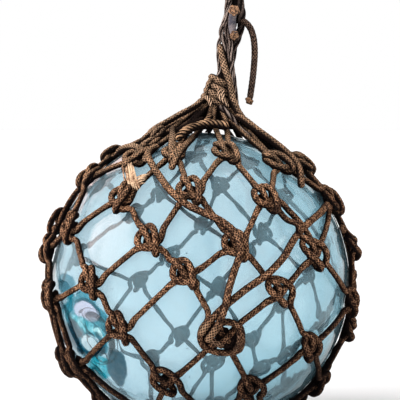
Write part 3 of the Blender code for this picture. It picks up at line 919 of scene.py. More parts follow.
@dataclass(frozen=True)
class GlassFinish:
    """Old blown glass: a pale aqua, deeper at the rim and in the folds of the seal, with faint streaks and
    painted highlights in the seal.
    """

    name: str = "old_aqua_glass"
    clear: Point = (0.69, 0.845, 0.910)
    thick: Point = (0.45, 0.670, 0.745)
    thick_from: Pair = (0.120, 0.215)
    thin_side: Point = (-0.045, 0.0, 0.020)
    unevenness: float = 0.03
    streak: Point = (0.44, 0.66, 0.75)
    streak_scale: Point = (34.0, 34.0, 5.0)
    streaks_from: Pair = (0.52, 0.68)
    streaky: float = 0.38
    facing: float = 0.28
    rim: Point = (0.34, 0.60, 0.70)
    rim_from: Pair = (0.35, 0.95)
    rim_strength: float = 0.85
    rings: float = 13.0
    ring_stretch: float = 6.0
    rings_from: Pair = (0.50, 0.62)
    rings_fade: Pair = (0.20, 0.50)
    ring_strength: float = 0.60
    vein_scale: float = 95.0
    veins_from: Pair = (0.40, 0.62)
    vein_colours: tuple[Point, Point] = ((0.0, 0.07, 0.11), (0.75, 0.98, 1.0))
    marbling: float = 0.6
    mirror_tint: Point = (0.40, 0.85, 1.0)
    transmission: float = 0.915
    roughness: float = 0.012
    ior: float = 1.47
    wave_scale: float = 22.0
    cord_height: float = 0.35

    def rim_rings(self, g: Graph, place: NodeSocket, edge: NodeSocket) -> NodeSocket:
        """The broken rings near the ball's edge, as a mask; edge tells how edge-on the glass is.

        Args:
            g: the material's graph.
            place: the coordinates.
            edge: how edge-on the glass is.

        Returns:
            The mask.
        """
        x, _, z = g.split(place)
        around = g.node("ShaderNodeCombineXYZ", X=g.times(edge, self.rings), Y=g.times(x, self.ring_stretch),
                        Z=g.times(z, self.ring_stretch)).outputs[0]
        rings = g.spread(g.noise(around, 1.0), *self.rings_from)
        return g.times(rings, g.spread(edge, *self.rings_fade))

    def seal(self, g: Graph, place: NodeSocket, uneven: NodeSocket, colour: NodeSocket) -> NodeSocket:
        """Lay the folds of the seal over the glass, with its painted highlights.

        Args:
            g: the material's graph.
            place: the coordinates.
            uneven: a mask that makes the folds' edges uneven.
            colour: the colour so far.

        Returns:
            The colour with the folds.
        """
        veins = g.node("ShaderNodeTexNoise", Vector=place, Scale=self.vein_scale, Detail=3.0, Distortion=1.6)
        marble = g.mix(g.spread(veins.outputs["Fac"], *self.veins_from), *self.vein_colours)
        for patch in SEAL_PATCHES:
            inside = patch.mask(g, place, uneven)
            marbled = patch.marbled * self.marbling
            tone = g.mix(marbled, patch.colour, marble) if marbled else patch.colour
            colour = g.mix(inside, colour, tone)
        return colour

    def material(self) -> Material:
        """Build the finish and return it.

        Returns:
            The material.
        """
        material, g, shader = new_material(self.name)
        place = g.node("ShaderNodeTexCoord").outputs["Object"]
        patches, flecks = g.group(weather_group(), Place=place, Patch_Scale=9.0, Fleck_Scale=60.0)
        drawn = g.node("ShaderNodeMapping", Vector=place, Scale=self.streak_scale).outputs[0]
        streaks = g.spread(g.noise(drawn, 1.0, 4.0), *self.streaks_from)
        edge = g.node("ShaderNodeLayerWeight", Blend=self.facing).outputs["Facing"]
        flat = g.node("ShaderNodeVectorMath", {"operation": "MULTIPLY"}, i0=place, i1=(1, 0, 1)).outputs[0]
        middle = CENTRE + Vector(self.thin_side)
        away = g.node("ShaderNodeVectorMath", {"operation": "DISTANCE"}, i0=flat, i1=(middle.x, 0, middle.z))
        away = g.plus(away.outputs["Value"], g.times(patches, self.unevenness))
        colour = g.mix(g.spread(away, *self.thick_from), self.clear, self.thick)
        colour = g.mix(g.times(streaks, self.streaky), colour, self.streak)
        colour = g.mix(g.times(self.rim_rings(g, place, edge), self.ring_strength), colour, self.streak)
        colour = g.mix(g.times(g.spread(edge, *self.rim_from), self.rim_strength), colour, self.rim)
        cords = g.times(g.noise(drawn, 0.8, 2.0), self.cord_height)
        waves = g.plus(g.noise(place, self.wave_scale, 2.0), cords)
        g.fill(shader, Base_Color=self.seal(g, place, flecks, colour), Transmission_Weight=self.transmission,
               Metallic=0.0, Roughness=self.roughness, IOR=self.ior, Specular_Tint=self.mirror_tint,
               Normal=g.bump(0.12, 0.004, waves))
        return material


LAID_YARNS = {"yarns_round": 5.0, "yarn_length": -0.005, "cross": -1.0}
LONG_YARNS = {"yarns_round": 4.0, "yarn_length": -0.014, "cross": -1.0, "painted_top_light": 0.0}
NET_FINISH = RopeFinish("weathered_net_rope", light=(0.66, 0.34, 0.185), middle=(0.135, 0.062, 0.033),
    dark=(0.008, 0.003, 0.002), old=(0.13, 0.08, 0.057))
LANYARD_FINISH = RopeFinish("grey_lanyard_rope", light=(0.42, 0.32, 0.27), middle=(0.15, 0.105, 0.088),
    dark=(0.03, 0.02, 0.018), old=(0.2, 0.16, 0.145), old_share=0.4, **LONG_YARNS)
RUST_FINISH = RopeFinish("rust_rope", light=(0.66, 0.36, 0.19), middle=(0.2, 0.098, 0.05),
    dark=(0.02, 0.009, 0.005), old=(0.26, 0.15, 0.09), **LAID_YARNS)
RUST_BRAID_FINISH = RopeFinish("rust_braided_rope", light=(0.72, 0.42, 0.26), middle=(0.2, 0.104, 0.062),
    dark=(0.014, 0.007, 0.005), old=(0.2, 0.135, 0.1))
# The lanyard rope darkened: painted shade for the leg that lies behind
SHADED_LANYARD_FINISH = RopeFinish("shaded_lanyard_rope", light=(0.2, 0.145, 0.12), middle=(0.055, 0.038, 0.032),
    dark=(0.008, 0.006, 0.005), old=(0.05, 0.04, 0.036), **LONG_YARNS)
PALE_ROPE_FINISH = RopeFinish("pale_strand", light=(0.8, 0.53, 0.36), middle=(0.42, 0.24, 0.15),
    dark=(0.06, 0.026, 0.014), old=(0.5, 0.34, 0.24), **LAID_YARNS)
# Near-black painted shade for the tucks in the knots, the wreath's hearts, the neck's core and the lanyard's
# core
PAINTED_SHADE_FINISH = RopeFinish("painted_shade_rope", painted_top_light=0.0, light=(0.04, 0.024, 0.018),
    middle=(0.012, 0.007, 0.006), dark=(0.004, 0.003, 0.003), old=(0.02, 0.014, 0.012))
TAIL_FINISH = RopeFinish("brown_tail_rope", painted_top_light=0.0, light=(0.31, 0.19, 0.13), middle=(0.13, 0.076, 0.052),
    dark=(0.016, 0.009, 0.007), old=(0.1, 0.072, 0.062), old_share=0.5)
STRAW_FINISH = FibreFinish("straw_fibre", light=(0.74, 0.51, 0.33), dark=(0.17, 0.08, 0.04))
TAN_FINISH = FibreFinish("tan_fibre", light=(0.42, 0.225, 0.12), dark=(0.025, 0.01, 0.005), patch_scale=420.0)
SLATE_FINISH = FibreFinish("slate_fibre", light=(0.15, 0.128, 0.13), dark=(0.05, 0.048, 0.062),
    patch_scale=110.0, fleck_scale=500.0)


@dataclass(frozen=True)
class Strand:
    """One visible strand of the net, the neck or the lanyard."""

    name: str
    rope: Rope
    finish: RopeFinish | FibreFinish
    route: Route
    slot: str = "net_rope"
    nodes: tuple[str, ...] = ()

    def build(self) -> None:
        """Build and dress the strand."""
        body = self.rope.body(self.name, [from_centre(spot) for spot in self.route])
        add_piece(body, self.slot, self.finish.material(), *self.nodes)


@dataclass(frozen=True)
class Fray:
    """Loose fibres of a rope: they leave it side by side and spread towards their tips, in millimetres."""

    name: str
    roots: Route
    tips: Route
    fibres: int
    thickness: float
    bow: float = 2.0
    bow_spread: Pair = (0.3, 1.2)
    bow_at: float = 0.45
    scatter: float = 1.2
    seed: int = 1

    def spot(self, chance: random.Random, places: Route, share: float) -> Vector:
        """A place at a share of the way along a row of places, scattered a little by chance.

        Args:
            chance: the source of the random draws.
            places: the row of places.
            share: the share of the way, from 0 to 1.

        Returns:
            The place.
        """
        at = share * (len(places) - 1)
        first = min(int(at), len(places) - 2)
        place = Vector(places[first]).lerp(Vector(places[first + 1]), at - first)
        return place + Vector([chance.uniform(-self.scatter, self.scatter) for _ in range(3)])

    def build(self) -> None:
        """Build and dress the fibres as one piece."""
        chance = random.Random(self.seed)
        rope = Rope(self.thickness, Lay.PLAIN, sides=6, step=0.0022, finish=End.POINTED)
        bodies = []
        for k in range(self.fibres):
            root, tip = (self.spot(chance, row, k / (self.fibres - 1)) for row in (self.roots, self.tips))
            middle = root.lerp(tip, self.bow_at)
            middle += middle.normalized() * self.bow * chance.uniform(*self.bow_spread)
            bodies.append(rope.body(self.name, [from_centre(spot) for spot in (root, middle, tip)]))
        add_piece(finished(gathered(bodies), self.name), "net_rope", STRAW_FINISH.material())


# ---------------------------------------------------------------- glass

@dataclass(frozen=True)
class Skin:
    """One surface of the glass, turned about the line through the seal."""

    radius: float
    middle: Vector
    rise: float
    reach: float
    ripple: float = 0.0
    ripples: float = 9.5
    inwards: bool = False
    steps: int = 112
    stations: int = 84
    crowding: float = 1.35
    waviness: float = 0.0002
    wave_scale: float = 2.6
    wave_shift: float = 40.0

    def profile(self) -> list[Point]:
        """The surface's profile, from the middle of the seal round to the far side.

        Returns:
            The profile's points.
        """
        points = []
        for k in range(self.stations + 1):
            angle = math.pi * (k / self.stations) ** self.crowding
            near = min(angle * self.radius / self.reach, 1.0)
            out = self.radius + self.rise * (1 - near * near * (3 - 2 * near))
            out += self.ripple * math.sin(near * self.ripples) * near * (1 - near)
            points.append((out * math.sin(angle), 0, out * math.cos(angle)))
        return points

    def build(self) -> Object:
        """Spin the profile, turn it to the seal and make it a little wavy.

        Returns:
            The skin.
        """
        bm = spun(self.profile(), self.steps)
        turned_to(bm, PLAN.outward(self.middle))
        for vert in bm.verts:
            way = vert.co.normalized()
            wave = noise.noise(way * self.wave_scale + Vector((self.radius * self.wave_shift, 0, 0)))
            vert.co -= way * (0.5 + 0.5 * wave) * self.waviness
        if self.inwards:
            bmesh.ops.reverse_faces(bm, faces=bm.faces[:])
        moved(bm, CENTRE)
        return finished(bm, "skin")


@dataclass
class GlassFloat:
    """The blown ball: a wall of even thickness, a thick seal low on the left, and bubbles in the glass."""

    wall: float = 0.0045
    seal: Pair = (-45.0, -17.0)
    seal_radius: float = 0.024
    seal_height: float = 0.003
    swirl: Pair = (-44.5, -21.0)
    swirl_radius: float = 0.036
    inner_height: float = 0.006
    inner_ripple: float = 0.0025
    bubbles: int = 170
    bubble_size: Pair = (0.00035, 0.0007)
    bubble_depth: Pair = (0.35, 0.65)
    seed: int = 5

    def add_bubbles(self, bm: BMesh) -> None:
        """Blow small bubbles into the wall, each a closed skin that looks into its own air.

        Args:
            bm: the body that takes them.
        """
        chance = random.Random(self.seed)
        least, spread = self.bubble_size
        for _ in range(self.bubbles):
            way = Vector([chance.gauss(0, 1) for _ in range(3)]).normalized()
            size = least + spread * chance.random() ** 3
            place = CENTRE + way * (PLAN.radius - self.wall * chance.uniform(*self.bubble_depth))
            place = Matrix.Translation(place)
            made = bmesh.ops.create_icosphere(bm, subdivisions=1, radius=size, matrix=place)
            bmesh.ops.reverse_faces(bm, faces=list({f for v in made["verts"] for f in v.link_faces}))

    def build(self) -> None:
        """Build and dress the glass."""
        outside = Skin(PLAN.radius, PLAN.on_ball(*self.seal), self.seal_height, self.seal_radius)
        inside = Skin(PLAN.radius - self.wall, PLAN.on_ball(*self.swirl), -self.inner_height,
                      self.swirl_radius, self.inner_ripple, inwards=True)
        bm = gathered([outside.build(), inside.build()])
        self.add_bubbles(bm)
        add_piece(finished(bm, "glass_float"), "aqua_glass", GlassFinish().material(), "glass_ball")


# ---------------------------------------------------------------- the net

class KnotStyle(Enum):
    """The looks of a sheet bend: drawn up tight with a long turn, left open as a ring, or tied wide."""

    HITCH = "hitch"
    RING = "ring"
    WREATH = "wreath"


class Way(Enum):
    """The side to which a rope of the net works its way down."""

    LEFT = 0
    RIGHT = 1


@dataclass(frozen=True)
class Passage:
    """A rope's way through a knot, in millimetres.

    The points inside are east and north of the knot's middle, and above the glass. The ends lie on the way
    to the next knots: how far along, how far aside (anticlockwise) and how high above the glass.
    """

    enter: Point
    inside: Route
    leave: Point


KNOTS: dict[KnotStyle, dict[Way, Passage]] = {
    KnotStyle.HITCH: {
        Way.RIGHT: Passage((20.5, 0, 5.4), ((-8.8, 12.2, 9.2), (-4.2, 6.6, 10.8), (-0.8, 1, 8.4),
            (2.4, -4.6, 4.8), (5.4, -10.2, 4.4), (8.4, -14, 7.2), (9.4, -12.4, 11.2), (8.8, -6.4, 12.9),
            (7.8, 0.8, 13), (5.2, 8.2, 12.2), (0.4, 13, 9.2), (-5, 13, 5.4), (-9.6, 8.6, 5.8),
            (-11.6, 2.2, 8), (-10.4, -4.2, 9.2), (-5.2, -8.2, 9.4), (1.6, -8.6, 8.6), (7.4, -8.2, 7.6),
            (11.6, -8.8, 6.4)), (20, 2, 4.4)),
        Way.LEFT: Passage((17.5, -3.6, 3.9), ((9.4, 1, 3.9), (3.4, -2.6, 3.9), (-3.4, -5.4, 3.9)),
            (17, 0, 3.8)),
    },
    KnotStyle.RING: {
        Way.RIGHT: Passage((22, 0, 5), ((-11.2, 13.8, 8.6), (-6.6, 8.4, 11.4), (-3.2, 3.6, 9.6),
            (-0.4, -1.6, 5.8), (1.6, -7.4, 4.2), (3.8, -12.2, 6), (3.4, -12.8, 9.8), (0.4, -9.6, 12.2),
            (-4.5, -5.8, 12.8), (-10.3, -1.3, 11.6), (-13.7, 3.6, 9.2), (-13, 9, 6.2), (-9, 12.7, 4.6),
            (-3.4, 13.3, 4.8), (3.9, 10.8, 6.8), (9.8, 6, 9.6), (12.7, -1.4, 10), (12.2, -8.6, 7.6)),
            (21, 2.4, 4.6)),
        Way.LEFT: Passage((17, -1.5, 4), ((7.4, 3.8, 5), (1.8, 0.2, 8.8), (-3, -3.6, 8.2), (-8.2, -7.4, 5.2)),
            (17.5, 0, 4)),
    },
    KnotStyle.WREATH: {
        Way.RIGHT: Passage((27, 0, 5), ((-14.5, 15.5, 7), (-20, 6.5, 8), (-21, -2.5, 8), (-17, -10.5, 8),
            (-10, -14, 8), (-2, -16, 8), (7.5, -15.5, 9), (15, -13, 10), (16.5, -6.5, 12), (16, 2, 12.5),
            (15, 8, 11), (9.5, 12, 9), (2.5, 13.5, 8), (-2.5, 11, 5.5), (-2, 3.5, 4.2), (3.5, -3.5, 4),
            (8.5, -10, 3.9)), (22, 0, 4)),
        Way.LEFT: Passage((22, 0, 4.2), ((14.5, 9, 4.2), (7, 2, 6.5), (0, -3.5, 9.5), (-7.5, -7.5, 8),
            (-13.5, -12, 4)), (22, 0, 4)),
    },
}


NET_EXTRAS = (
    Strand("worn_turn", Rope(0.0068), RUST_BRAID_FINISH, over_ball((-80.5, 130, 7), (-77, 133.5, 10),
        (-68, 136.5, 11.5), (-58.5, 135, 10.5), (-53, 129.5, 8), (-51.5, 122.5, 7.5))),
    Strand("mended_strand", Rope(0.0058), NET_FINISH, over_ball((71, 88.5, 9), (76.5, 85, 9), (83.5, 77.5, 6),
        (88.5, 72.5, 5), (93.5, 67, 5), (98.5, 60, 6), (104.5, 50.5, 8))),
    Strand("upright_strand", Rope(0.007), RUST_BRAID_FINISH, ((-26, -44, 155.5), (-26.5, -50, 152),
        (-26.5, -60, 145), (-27, -68, 139.5), (-27.5, -75, 135), (-26.5, -88, 127))),
    Strand("shoulder_turn_1", Rope(0.0062), RUST_BRAID_FINISH, ((-57, -30, 142), (-51, -33, 147.5),
        (-44, -34, 151.5), (-37, -33, 152), (-31.5, -30, 148.5), (-29, -26, 143))),
    Strand("shoulder_turn_2", Rope(0.0062), RUST_BRAID_FINISH, ((-58, -38, 136), (-51.5, -41, 141),
        (-44, -42.5, 144.5), (-38.5, -41, 148), (-36.5, -36, 151.5), (-38, -29, 152.5))),
    Strand("shoulder_turn_3", Rope(0.006), RUST_BRAID_FINISH, ((-47, -41, 143.5), (-45.5, -41.5, 147.5),
        (-42.5, -39, 151.5), (-39, -34, 154), (-36, -27, 154))),
    # The wreath's near-black hearts are painted shade in the knot's hollows
    Strand("wreath_heart_1", Rope(0.0085), PAINTED_SHADE_FINISH, over_ball((31.5, -26.5, 3.5), (32, -35, 3.5),
        (28, -42.5, 3.5), (20, -45, 3.5))),
    Strand("wreath_heart_2", Rope(0.008), PAINTED_SHADE_FINISH, over_ball((14, -35, 3.5), (20, -37.5, 3.5),
        (27, -37.5, 3.5))),
    Strand("wreath_heart_3", Rope(0.007), PAINTED_SHADE_FINISH, over_ball((14, -21.5, 3), (10, -27.5, 3),
        (6, -33, 3), (5, -39, 3), (10, -43, 3), (17, -44.5, 3))),
    Strand("wreath_stub", Rope(0.0062), RUST_BRAID_FINISH, over_ball((9.5, -36.5, 10), (13, -39, 12),
        (17, -41.5, 12), (21.5, -44, 9.5))),
    Strand("wreath_limb", Rope(0.0062), RUST_BRAID_FINISH, over_ball((34.5, -28, 8), (36, -33.5, 10.5),
        (35.5, -41.5, 10.5), (31, -49, 8))),
    Strand("limb_strand", Rope(0.0064, painted_light_all_round=True), NET_FINISH, over_ball((140, 58, 4.5),
        (144.5, 48, 3.3), (149.5, 30, 3.3), (152, 10, 3.3), (152.2, -8, 3.3), (151.5, -17, 3.3),
        (148.5, -35, 3.3), (143.5, -51, 3.3), (140, -58, 4.5))),
    Strand("front_strand", Rope(0.0066), NET_FINISH, over_ball((-6, 146, 6), (-14.5, 138, 9.5),
        (-21.5, 128.5, 11), (-26, 119.5, 9), (-27.5, 115.5, 7))),
)
NET_FRAYS = (
    Fray("worn_tuft", over_ball((-72.5, 121, 11), (-68, 122.5, 12.5), (-63.5, 119.5, 12)),
        over_ball((-68.5, 98, 7.5), (-62, 96.5, 8), (-55, 99, 8)), fibres=18, thickness=0.0016, scatter=1.4,
        seed=4),
    Fray("worn_side_tuft", over_ball((-62, 107, 9), (-60, 102, 9)), over_ball((-48, 112, 10), (-50, 105, 9)),
        fibres=6, thickness=0.0015, seed=9),
)


@dataclass
class KnottedNet:
    """The net: ropes that run from the foot to the neck and down again, knotted to each other on the way."""

    rest: float = 0.0037
    bar_spacing: float = 0.010
    pattern_step: float = 0.37
    knot_scale: float = 0.89
    scale_spread: float = 0.04
    height_growth: float = 0.35
    heart: Point = (0.0078, 0.0078, 0.0026)
    heart_height: float = 0.0030
    heart_wobble: float = 0.0012
    heart_grain: float = 260.0
    roll_spread: float = 8.0
    back_from: float = 0.45
    back_scale: float = 0.80
    top_loop_radius: float = 0.0236
    top_loop_height: float = 0.1660
    bottom_loop_radius: float = 0.0332
    bottom_loop_height: float = -0.1507
    roll_seed: int = 1000
    scale_seed: int = 2000
    style_seed: int = 3000
    lifted: dict[tuple[int, int, Way], Point] = field(default_factory=lambda: {
        (1, 0, Way.RIGHT): (0.6, 0.0122, 0.16), (4, -1, Way.LEFT): (0.5, 0.0066, 0.5),
    })
    large: dict[Spot, float] = field(default_factory=lambda: {
        (0, -2): 1.02, (2, 1): 1.02, (0, -1): 0.8, (0, -3): 0.7, (4, 0): 1,
    })
    chosen: dict[KnotStyle, tuple[Spot, ...]] = field(default_factory=lambda: {
        KnotStyle.WREATH: ((4, 0),),
        KnotStyle.RING: ((2, 1), (3, 0), (3, 1), (4, 1), (4, 2), (5, -1), (5, 0), (5, 1), (6, 0), (6, -2)),
        KnotStyle.HITCH: ((0, -2), (0, -1), (0, 0), (0, 1), (1, -2), (1, -1), (1, 0), (1, 1), (2, -2),
            (2, -1), (2, 0), (3, -2), (3, -1), (4, -2), (4, -1), (5, -2)),
    })
    rolls: dict[Spot, float] = field(default_factory=lambda: {
        (0, -1): -26, (1, -2): -30, (1, -1): -4, (2, -1): 0, (3, -1): 2, (3, 0): 0, (4, 1): -12, (4, 0): 0,
        (1, 0): -8, (2, 0): -6, (5, 0): -4, (5, -1): 4,
    })
    top_turn: Route = ((-5, 0.018, 0.006), (-2, 0.013, 0.011), (2, 0.013, 0.011), (5, 0.018, 0.006))

    def chance(self, seed: int, row: int, column: int) -> random.Random:
        """A knot's own source of chance."""
        return random.Random(seed + PLAN.row_seed * row + column)

    def style(self, row: int, column: int) -> KnotStyle:
        """The look of a knot.

        Args:
            row: the knot's row, counted from the top.
            column: its place in the row.

        Returns:
            The style that is chosen for it, or one by chance.
        """
        for style, spots in self.chosen.items():
            if (row, column) in spots:
                return style
        return self.chance(self.style_seed, row, column).choice((KnotStyle.HITCH, KnotStyle.RING))

    def below(self, row: int, column: int, way: Way) -> Spot:
        """The row and column that a rope leads down to; the row after the last has the bottom loops."""
        return row + 1, PLAN.wrap(column + way.value - (0 if row % 2 else 1))

    def above(self, row: int, column: int, way: Way) -> Spot:
        """The row and column that a rope comes down from; row -1 stands for the top loops."""
        return row - 1, PLAN.wrap(column + (1 - way.value if row % 2 else -way.value))

    def place(self, row: int, column: int) -> Vector:
        """The middle of a knot, or of an end loop.

        Args:
            row: the knot's row, with the top loops before the first and the bottom loops after the last.
            column: its place in the row.

        Returns:
            The point.
        """
        if row < 0:
            longitude = PLAN.first_longitude + PLAN.pitch * (column + 0.5)
            return PLAN.around(longitude, self.top_loop_radius, self.top_loop_height)
        if row >= PLAN.rows:
            longitude = PLAN.first_longitude + PLAN.pitch * column
            return PLAN.around(longitude, self.bottom_loop_radius, self.bottom_loop_height,
                               PLAN.row_latitudes[-1])
        return PLAN.above(PLAN.knot(row, column), self.rest)

    def knot_axes(self, row: int, column: int) -> tuple[Vector, Vector, Vector]:
        """East, north and outward at a knot, turned as its ropes pull it.

        Args:
            row: the knot's row, counted from the top.
            column: its place in the row.

        Returns:
            The three unit vectors.
        """
        up = PLAN.knot(row, column)
        east = UP.cross(up).normalized()
        north = up.cross(east)
        middle, pull = self.place(row, column), 0.0
        for way, wanted in ((Way.LEFT, -135.0), (Way.RIGHT, -45.0)):
            towards = self.place(*self.below(row, column, way)) - middle
            found = math.atan2(towards.dot(north), towards.dot(east))
            pull += math.remainder(found - math.radians(wanted), FULL_TURN) / 2
        wobble = self.chance(self.roll_seed, row, column).uniform(-self.roll_spread, self.roll_spread)
        roll = math.radians(wobble) + pull
        if (row, column) in self.rolls:
            roll = math.radians(self.rolls[(row, column)])
        turned = Matrix.Rotation(roll, 3, up)
        return turned @ east, turned @ north, up

    def scale(self, row: int, column: int) -> float:
        """How large a knot is drawn up; the hidden ones at the back are smaller.

        Args:
            row: the knot's row, counted from the top.
            column: its place in the row.

        Returns:
            The factor for its size.
        """
        scatter = 1 + self.chance(self.scale_seed, row, column).uniform(-1, 1) * self.scale_spread
        size = self.large.get((row, column), self.knot_scale) * scatter
        return size * self.back_scale if PLAN.knot(row, column).y > self.back_from else size

    def through_knot(self, row: int, column: int, way: Way) -> list[Vector]:
        """Lead a rope through a knot.

        Args:
            row: the knot's row.
            column: its column.
            way: the side that the rope works towards.

        Returns:
            The rope's points, from the top down.
        """
        scale = self.scale(row, column)
        east, north, up = self.knot_axes(row, column)
        passage = KNOTS[self.style(row, column)][way]
        middle = up * PLAN.radius

        def end(spot: Point, neighbour: Spot) -> Vector:
            """The point where the rope meets its bar.

            Args:
                spot: how far it lies towards the neighbour, across and above the glass, in millimetres.
                neighbour: the knot at the bar's other end.

            Returns:
                The point.
            """
            towards = self.place(*neighbour) - CENTRE - middle
            towards = (towards - up * towards.dot(up)).normalized()
            direction = middle + (towards * spot[0] + up.cross(towards) * spot[1]) * scale * MM
            return PLAN.above(direction, spot[2] * MM)

        points = [end(passage.enter, self.above(row, column, way))]
        for x, y, height in passage.inside:
            direction = middle + (east * x + north * y) * scale * MM
            points.append(PLAN.above(direction, height * MM * (1 + self.height_growth * (scale - 1))))
        return [*points, end(passage.leave, self.below(row, column, way))]

    def bar(self, start: Vector, end: Vector, lifted: Point | None) -> list[Vector]:
        """Lay the rope between two knots on the glass, or string it clear of it to an end loop.

        Args:
            start: the last point of the rope in the knot above.
            end: its first point in the knot below.
            lifted: the share of the way, the height and the width of a place where it rises over another.

        Returns:
            The points between the two.
        """
        count = max(2, round((end - start).length / self.bar_spacing))
        points = []
        for k in range(1, count):
            share = k / count
            place = start.lerp(end, share) - CENTRE
            wanted = max(place.length - PLAN.radius, self.rest)
            if lifted:
                where, top, width = lifted
                wanted += (top - self.rest) * math.exp(-((share - where) / width) ** 2)
            points.append(PLAN.above(place, wanted))
        return points

    def run_down(self, column: int, way: Way) -> list[Vector]:
        """The points of a rope from the top loop at a column down to the foot, on one side.

        Args:
            column: the top loop's column.
            way: the side on which the rope goes down.

        Returns:
            The points, from the top down.
        """
        spot = (-1, column)
        points = [self.place(*spot)]
        while spot[0] < PLAN.rows:
            below = self.below(*spot, way)
            inside = [self.place(*below)] if below[0] == PLAN.rows else self.through_knot(*below, way)
            points += self.bar(points[-1], inside[0], self.lifted.get((*spot, way))) + inside
            spot = below
        return points

    def top_loop(self, column: int) -> list[Vector]:
        """The turn of a rope inside the lashing, between its two ways down.

        Args:
            column: the top loop's column.

        Returns:
            The points of the turn.
        """
        longitude = PLAN.first_longitude + PLAN.pitch * (column + 0.5)
        return [PLAN.around(longitude + turn, radius, self.top_loop_height + rise)
                for turn, radius, rise in self.top_turn]

    def build(self) -> None:
        """Build and dress the net's ropes."""
        for number, column in enumerate(PLAN.columns):
            left, right = self.run_down(column, Way.LEFT), self.run_down(column, Way.RIGHT)
            route = left[:0:-1] + self.top_loop(column) + right[1:]
            body = NET_ROPE.body(f"net_rope_{number}", route, offset=self.pattern_step * number)
            add_piece(body, "net_rope", NET_FINISH.material(), "rope_net")
        self.hearts()
        for extra in NET_EXTRAS + NET_FRAYS:
            extra.build()

    def hearts(self) -> None:
        """Build and dress the near-black tucks inside the knots, as one piece: painted shade in the knots'
        hollows.
        """
        bm = bmesh.new()
        for spot in PLAN.spots:
            axes = self.knot_axes(*spot)
            turn = Matrix(axes).transposed().to_4x4()
            size = Matrix.Diagonal((*self.heart, 1.0))
            place = Matrix.Translation(PLAN.above(axes[2], self.heart_height))
            made = bmesh.ops.create_icosphere(bm, subdivisions=2, radius=1.0, matrix=place @ turn @ size)
            for vert in made["verts"]:
                vert.co += axes[2] * self.heart_wobble * noise.noise(vert.co * self.heart_grain)
        add_piece(finished(bm, "knot_hearts"), "net_rope", PAINTED_SHADE_FINISH.material())


# ---------------------------------------------------------------- foot and neck

@dataclass
class FootRing:
    """The rope ring that closes the net under the ball and on which the float stands."""

    steps: int = 24

    def build(self) -> None:
        """Build and dress the ring, a little worn flat where it stands."""
        radius = PLAN.foot_ring_radius
        turns = [FULL_TURN * k / self.steps for k in range(self.steps + 2)]
        route = [Vector((radius * math.sin(turn), radius * math.cos(turn), PLAN.foot_height))
                 for turn in turns]
        body = FOOT_ROPE.body("foot_ring_rope", route)
        for vert in body.data.vertices:
            vert.co.z = max(vert.co.z, 0.0)
        add_piece(body, "net_rope", NET_FINISH.material(), "foot_ring")


NECK_STRANDS = (
    Strand("neck_right_strand", Rope(0.0074), RUST_BRAID_FINISH, ((20.5, -3, 238.5), (21.5, -5, 232.5),
        (22.5, -6.5, 226), (23.5, -7.5, 220), (25.5, -10, 211), (27.5, -11.5, 205), (29.5, -13, 197.5),
        (31, -15, 190.5), (32, -17, 183.5), (34.5, -18.5, 177.5), (37, -20, 171.5), (40.5, -21.5, 166),
        (45, -23.5, 160), (52, -26, 154))),
    Strand("neck_middle_strand", Rope(0.0064), LANYARD_FINISH, ((20, -15, 176.5), (23.5, -19, 172),
        (28.5, -22, 167), (33, -25, 161.5), (36, -28, 156.5), (40, -31, 152), (44.5, -33, 149),
        (50.5, -34, 146))),
    Strand("neck_left_strand", Rope(0.0064), RUST_BRAID_FINISH, ((3, -14, 183.5), (-3, -16, 177.5),
        (-10, -18, 173), (-19, -21, 168.5), (-27.5, -24, 163.5), (-35.5, -27, 159), (-43.5, -30, 154.5),
        (-51, -34, 148.5))),
    Strand("neck_lower_strand", Rope(0.0062), NET_FINISH, ((5, -28, 163.5), (-2, -30, 161), (-10, -33, 158.5),
        (-17.5, -36, 154.5), (-25.5, -40, 150))),
    Strand("neck_left_turn", Rope(0.006), RUST_BRAID_FINISH, ((12.5, -8, 204.5), (9, -8, 198), (7, -8, 191.5),
        (5.5, -8, 185.5), (1, -10, 179))),
    Strand("neck_stub", Rope(0.007), RUST_FINISH, ((11.5, -27, 167.5), (9.5, -30, 165), (7.5, -34, 162),
        (4.5, -38, 159))),
    Strand("neck_pale_strand_1", PALE_STRAND_ROPE, PALE_ROPE_FINISH, ((20, -12.5, 193.5), (19, -15, 189),
        (19.5, -17.5, 184.5), (22.5, -19.5, 181), (25.5, -20.5, 178), (28, -21, 174.5))),
    Strand("neck_pale_strand_2", PALE_STRAND_ROPE, PALE_ROPE_FINISH, ((23, -13.5, 192.5), (22.5, -16.5, 187),
        (23.5, -19, 182), (27, -21, 177.5))),
    Strand("neck_pale_strand_3", PALE_STRAND_ROPE, PALE_ROPE_FINISH, ((5.5, -8.5, 186.5), (8, -12.5, 184),
        (10, -16, 180), (11, -19, 175))),
)


